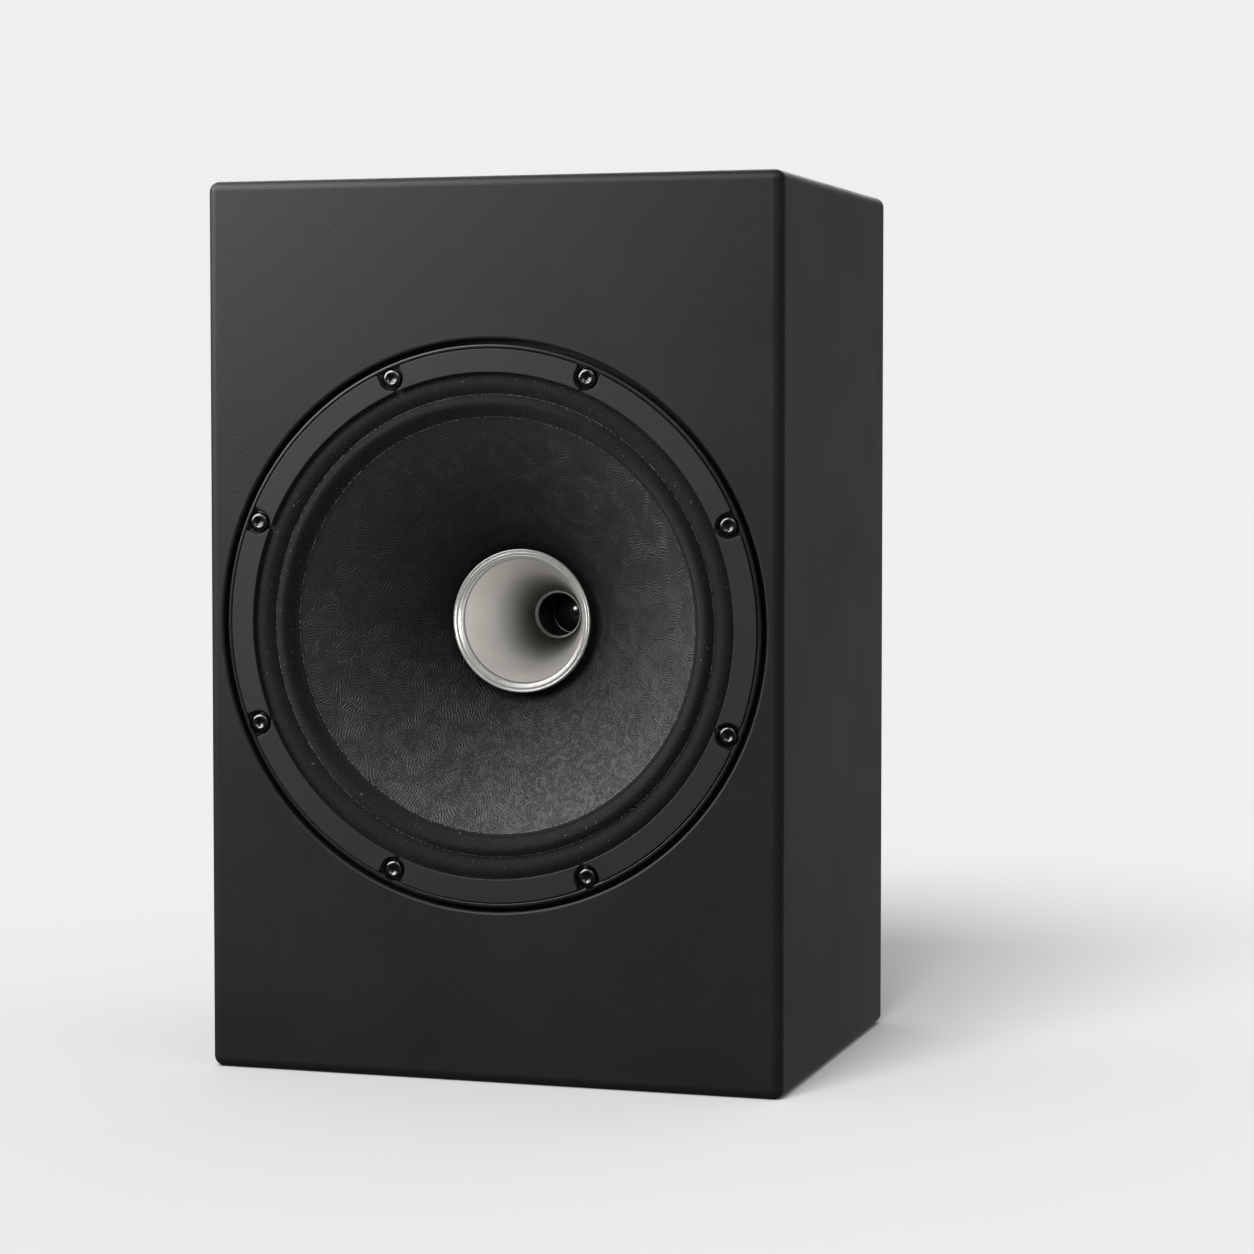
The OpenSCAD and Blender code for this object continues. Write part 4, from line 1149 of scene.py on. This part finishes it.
def foam_sheet(node, across):
    """Convoluted foam on the node's box: flat against the wall and bumpy on its free side.

    The bumps repeat at the pitch, and level and swing are shares of the sheet's thickness.
    """
    low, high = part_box(node)
    size = high - low
    inward = {"x": Vector((1, 0, 0)), "y": Vector((0, 1, 0)), "z": Vector((0, 0, 1))}[across[-1]]
    way = -1 if across[0] == "-" else 1
    u_axis, v_axis = [Vector(a) for a in ((1, 0, 0), (0, 1, 0), (0, 0, 1)) if Vector(a) != inward]
    thick = size.dot(inward)
    wall = low if way > 0 else low + inward * thick
    u_len, v_len = size.dot(u_axis), size.dot(v_axis)
    pitch = 0.030
    level = 0.72
    swing = 0.27
    cell = 0.005
    nu, nv = round(u_len / cell), round(v_len / cell)
    verts = []
    for j in range(nv + 1):
        for i in range(nu + 1):
            u, v = u_len * i / nu, v_len * j / nv
            wave = math.sin(2 * math.pi * u / pitch) * math.sin(2 * math.pi * v / pitch)
            rise = thick * (level + swing * wave)
            verts.append(wall + u_axis * u + v_axis * v + inward * way * rise)
    top = len(verts)
    for j in range(nv + 1):
        for i in range(nu + 1):
            verts.append(wall + u_axis * (u_len * i / nu) + v_axis * (v_len * j / nv))
    faces = []
    for j in range(nv):
        for i in range(nu):
            a = j * (nu + 1) + i
            b = a + nu + 1
            faces.append((a, a + 1, b + 1, b))
            faces.append((top + a, top + b, top + b + 1, top + a + 1))
    rim = list(range(nu)) + [j * (nu + 1) + nu for j in range(nv)]
    rim += [nv * (nu + 1) + i for i in range(nu, 0, -1)] + [j * (nu + 1) for j in range(nv, 0, -1)]
    for k in range(len(rim)):
        a, b = rim[k], rim[(k + 1) % len(rim)]
        faces.append((b, a, top + a, top + b))
    sheet = solid(node + "_sheet", [tuple(c / MM for c in v) for v in verts], faces, Matrix.Identity(4))
    finished(sheet, "foam", "cabinet", node, sharp=60, weighted=False)


# ---------- rear terminal ----------

def softened(name, node, slot, body, width, sharp=35):
    """A copy of the node's shape with its hard edges slightly rounded."""
    mesh = nodes[node].data.copy()
    mesh.transform(nodes[node].matrix_world)
    bm = bmesh.new()
    bm.from_mesh(mesh)
    bmesh.ops.remove_doubles(bm, verts=bm.verts, dist=1e-6)
    bmesh.ops.dissolve_limit(bm, angle_limit=math.radians(0.5), verts=bm.verts, edges=bm.edges)
    bm.to_mesh(mesh)
    bm.free()
    piece = link(name, mesh)
    soft = piece.modifiers.new("soft_edges", "BEVEL")
    soft.width = width * MM
    soft.segments = 2
    soft.limit_method = "ANGLE"
    soft.angle_limit = math.radians(sharp)
    bake_modifiers(piece)
    finished(piece, slot, body, node, sharp=60)


def terminal_cup():
    """Flanged tray with a rounded well, two post holes and four screw holes."""
    cup = prism("cup_moulding",
                rounded_box_outline(CUP_W + 2 * CUP_FLANGE, CUP_H + 2 * CUP_FLANGE, CUP_ROUND),
                -CUP_FLANGE_T, 0, round_high=0.8, place=TO_BACK)
    shell = prism("shell", rounded_box_outline(CUP_W + 2 * CUP_T, CUP_H + 2 * CUP_T, CUP_ROUND),
                  -CUP_DEEP - CUP_T, -1, round_low=1.5, place=TO_BACK)
    combine(cup, shell, "UNION")
    well = prism("well", rounded_box_outline(CUP_W, CUP_H, CUP_ROUND - CUP_T),
                 -CUP_DEEP, 1, round_low=1.5, place=TO_BACK)
    combine(cup, well, "DIFFERENCE")
    step = prism("step", rounded_box_outline(CUP_W + 1.6, CUP_H + 1.6, CUP_ROUND - CUP_T + 0.8),
                 -0.6, 1, round_low=0.5, place=TO_BACK)
    combine(cup, step, "DIFFERENCE")
    post = [(0, -CUP_DEEP + 1), (POST_HOLE_R, -CUP_DEEP + 1),
            (POST_HOLE_R, -CUP_DEEP - CUP_T - 1), (0, -CUP_DEEP - CUP_T - 1)]
    head_r = 4.2
    screw_r = 1.95
    sink = [(0, 1), (head_r, 1), (head_r, 0), (screw_r, screw_r - head_r),
            (screw_r, -CUP_FLANGE_T - 1), (0, -CUP_FLANGE_T - 1)]
    drill(cup, post, 48, [TO_BACK @ Matrix.Translation((side * POST_X * MM, 0, 0)) for side in (-1, 1)])
    out_x = (CUP_W + CUP_FLANGE + 1) / 2 * MM
    out_y = (CUP_H + CUP_FLANGE + 1) / 2 * MM
    drill(cup, sink, 48, [TO_BACK @ Matrix.Translation((sx * out_x, sy * out_y, 0))
                          for sx in (-1, 1) for sy in (-1, 1)])
    finished(cup, "black_plastic", "cabinet", "terminal_cup", sharp=40)


def rear_terminal():
    terminal_cup()
    softened("cup_screw_heads", "cup_screws", "black_steel", "cabinet", 0.15)
    softened("post_insulators", "post_bases", "black_plastic", "cabinet", 0.3)
    for side, slot in (("left", "red_plastic"), ("right", "black_plastic")):
        softened(f"{side}_knob", f"{side}_cap", slot, f"{side}_post_cap", 0.22)
        softened(f"{side}_washer", f"{side}_clamp", "gold_brass", f"{side}_clamp_ring", 0.2)


# ---------- CAD nodes that stay ----------

def keep_cad_nodes():
    """Every CAD node that stays in view gets the procedural material of the same name."""
    for old in list(bpy.data.materials):
        if old.name in RECIPES:
            old.name = old.name + ".cad"
    for obj in nodes.values():
        slot = obj.data.materials[0].name.split(".")[0]
        obj.material_slots[0].material = material(slot)


# ---------- the scene ----------

add_camera()
keep_cad_nodes()

front_panel()
side_panels()
back_panel()
basket()
gasket_pads()
washers()
screws()
cone()
surround()
spider()
rear_terminal()
add_studio(horn(), [throat_tube(), tweeter_dome()])
for foam_node, free_side in (("left_foam", "+x"), ("right_foam", "-x"),
                             ("top_foam", "-z"), ("back_foam", "-y")):
    foam_sheet(foam_node, free_side)
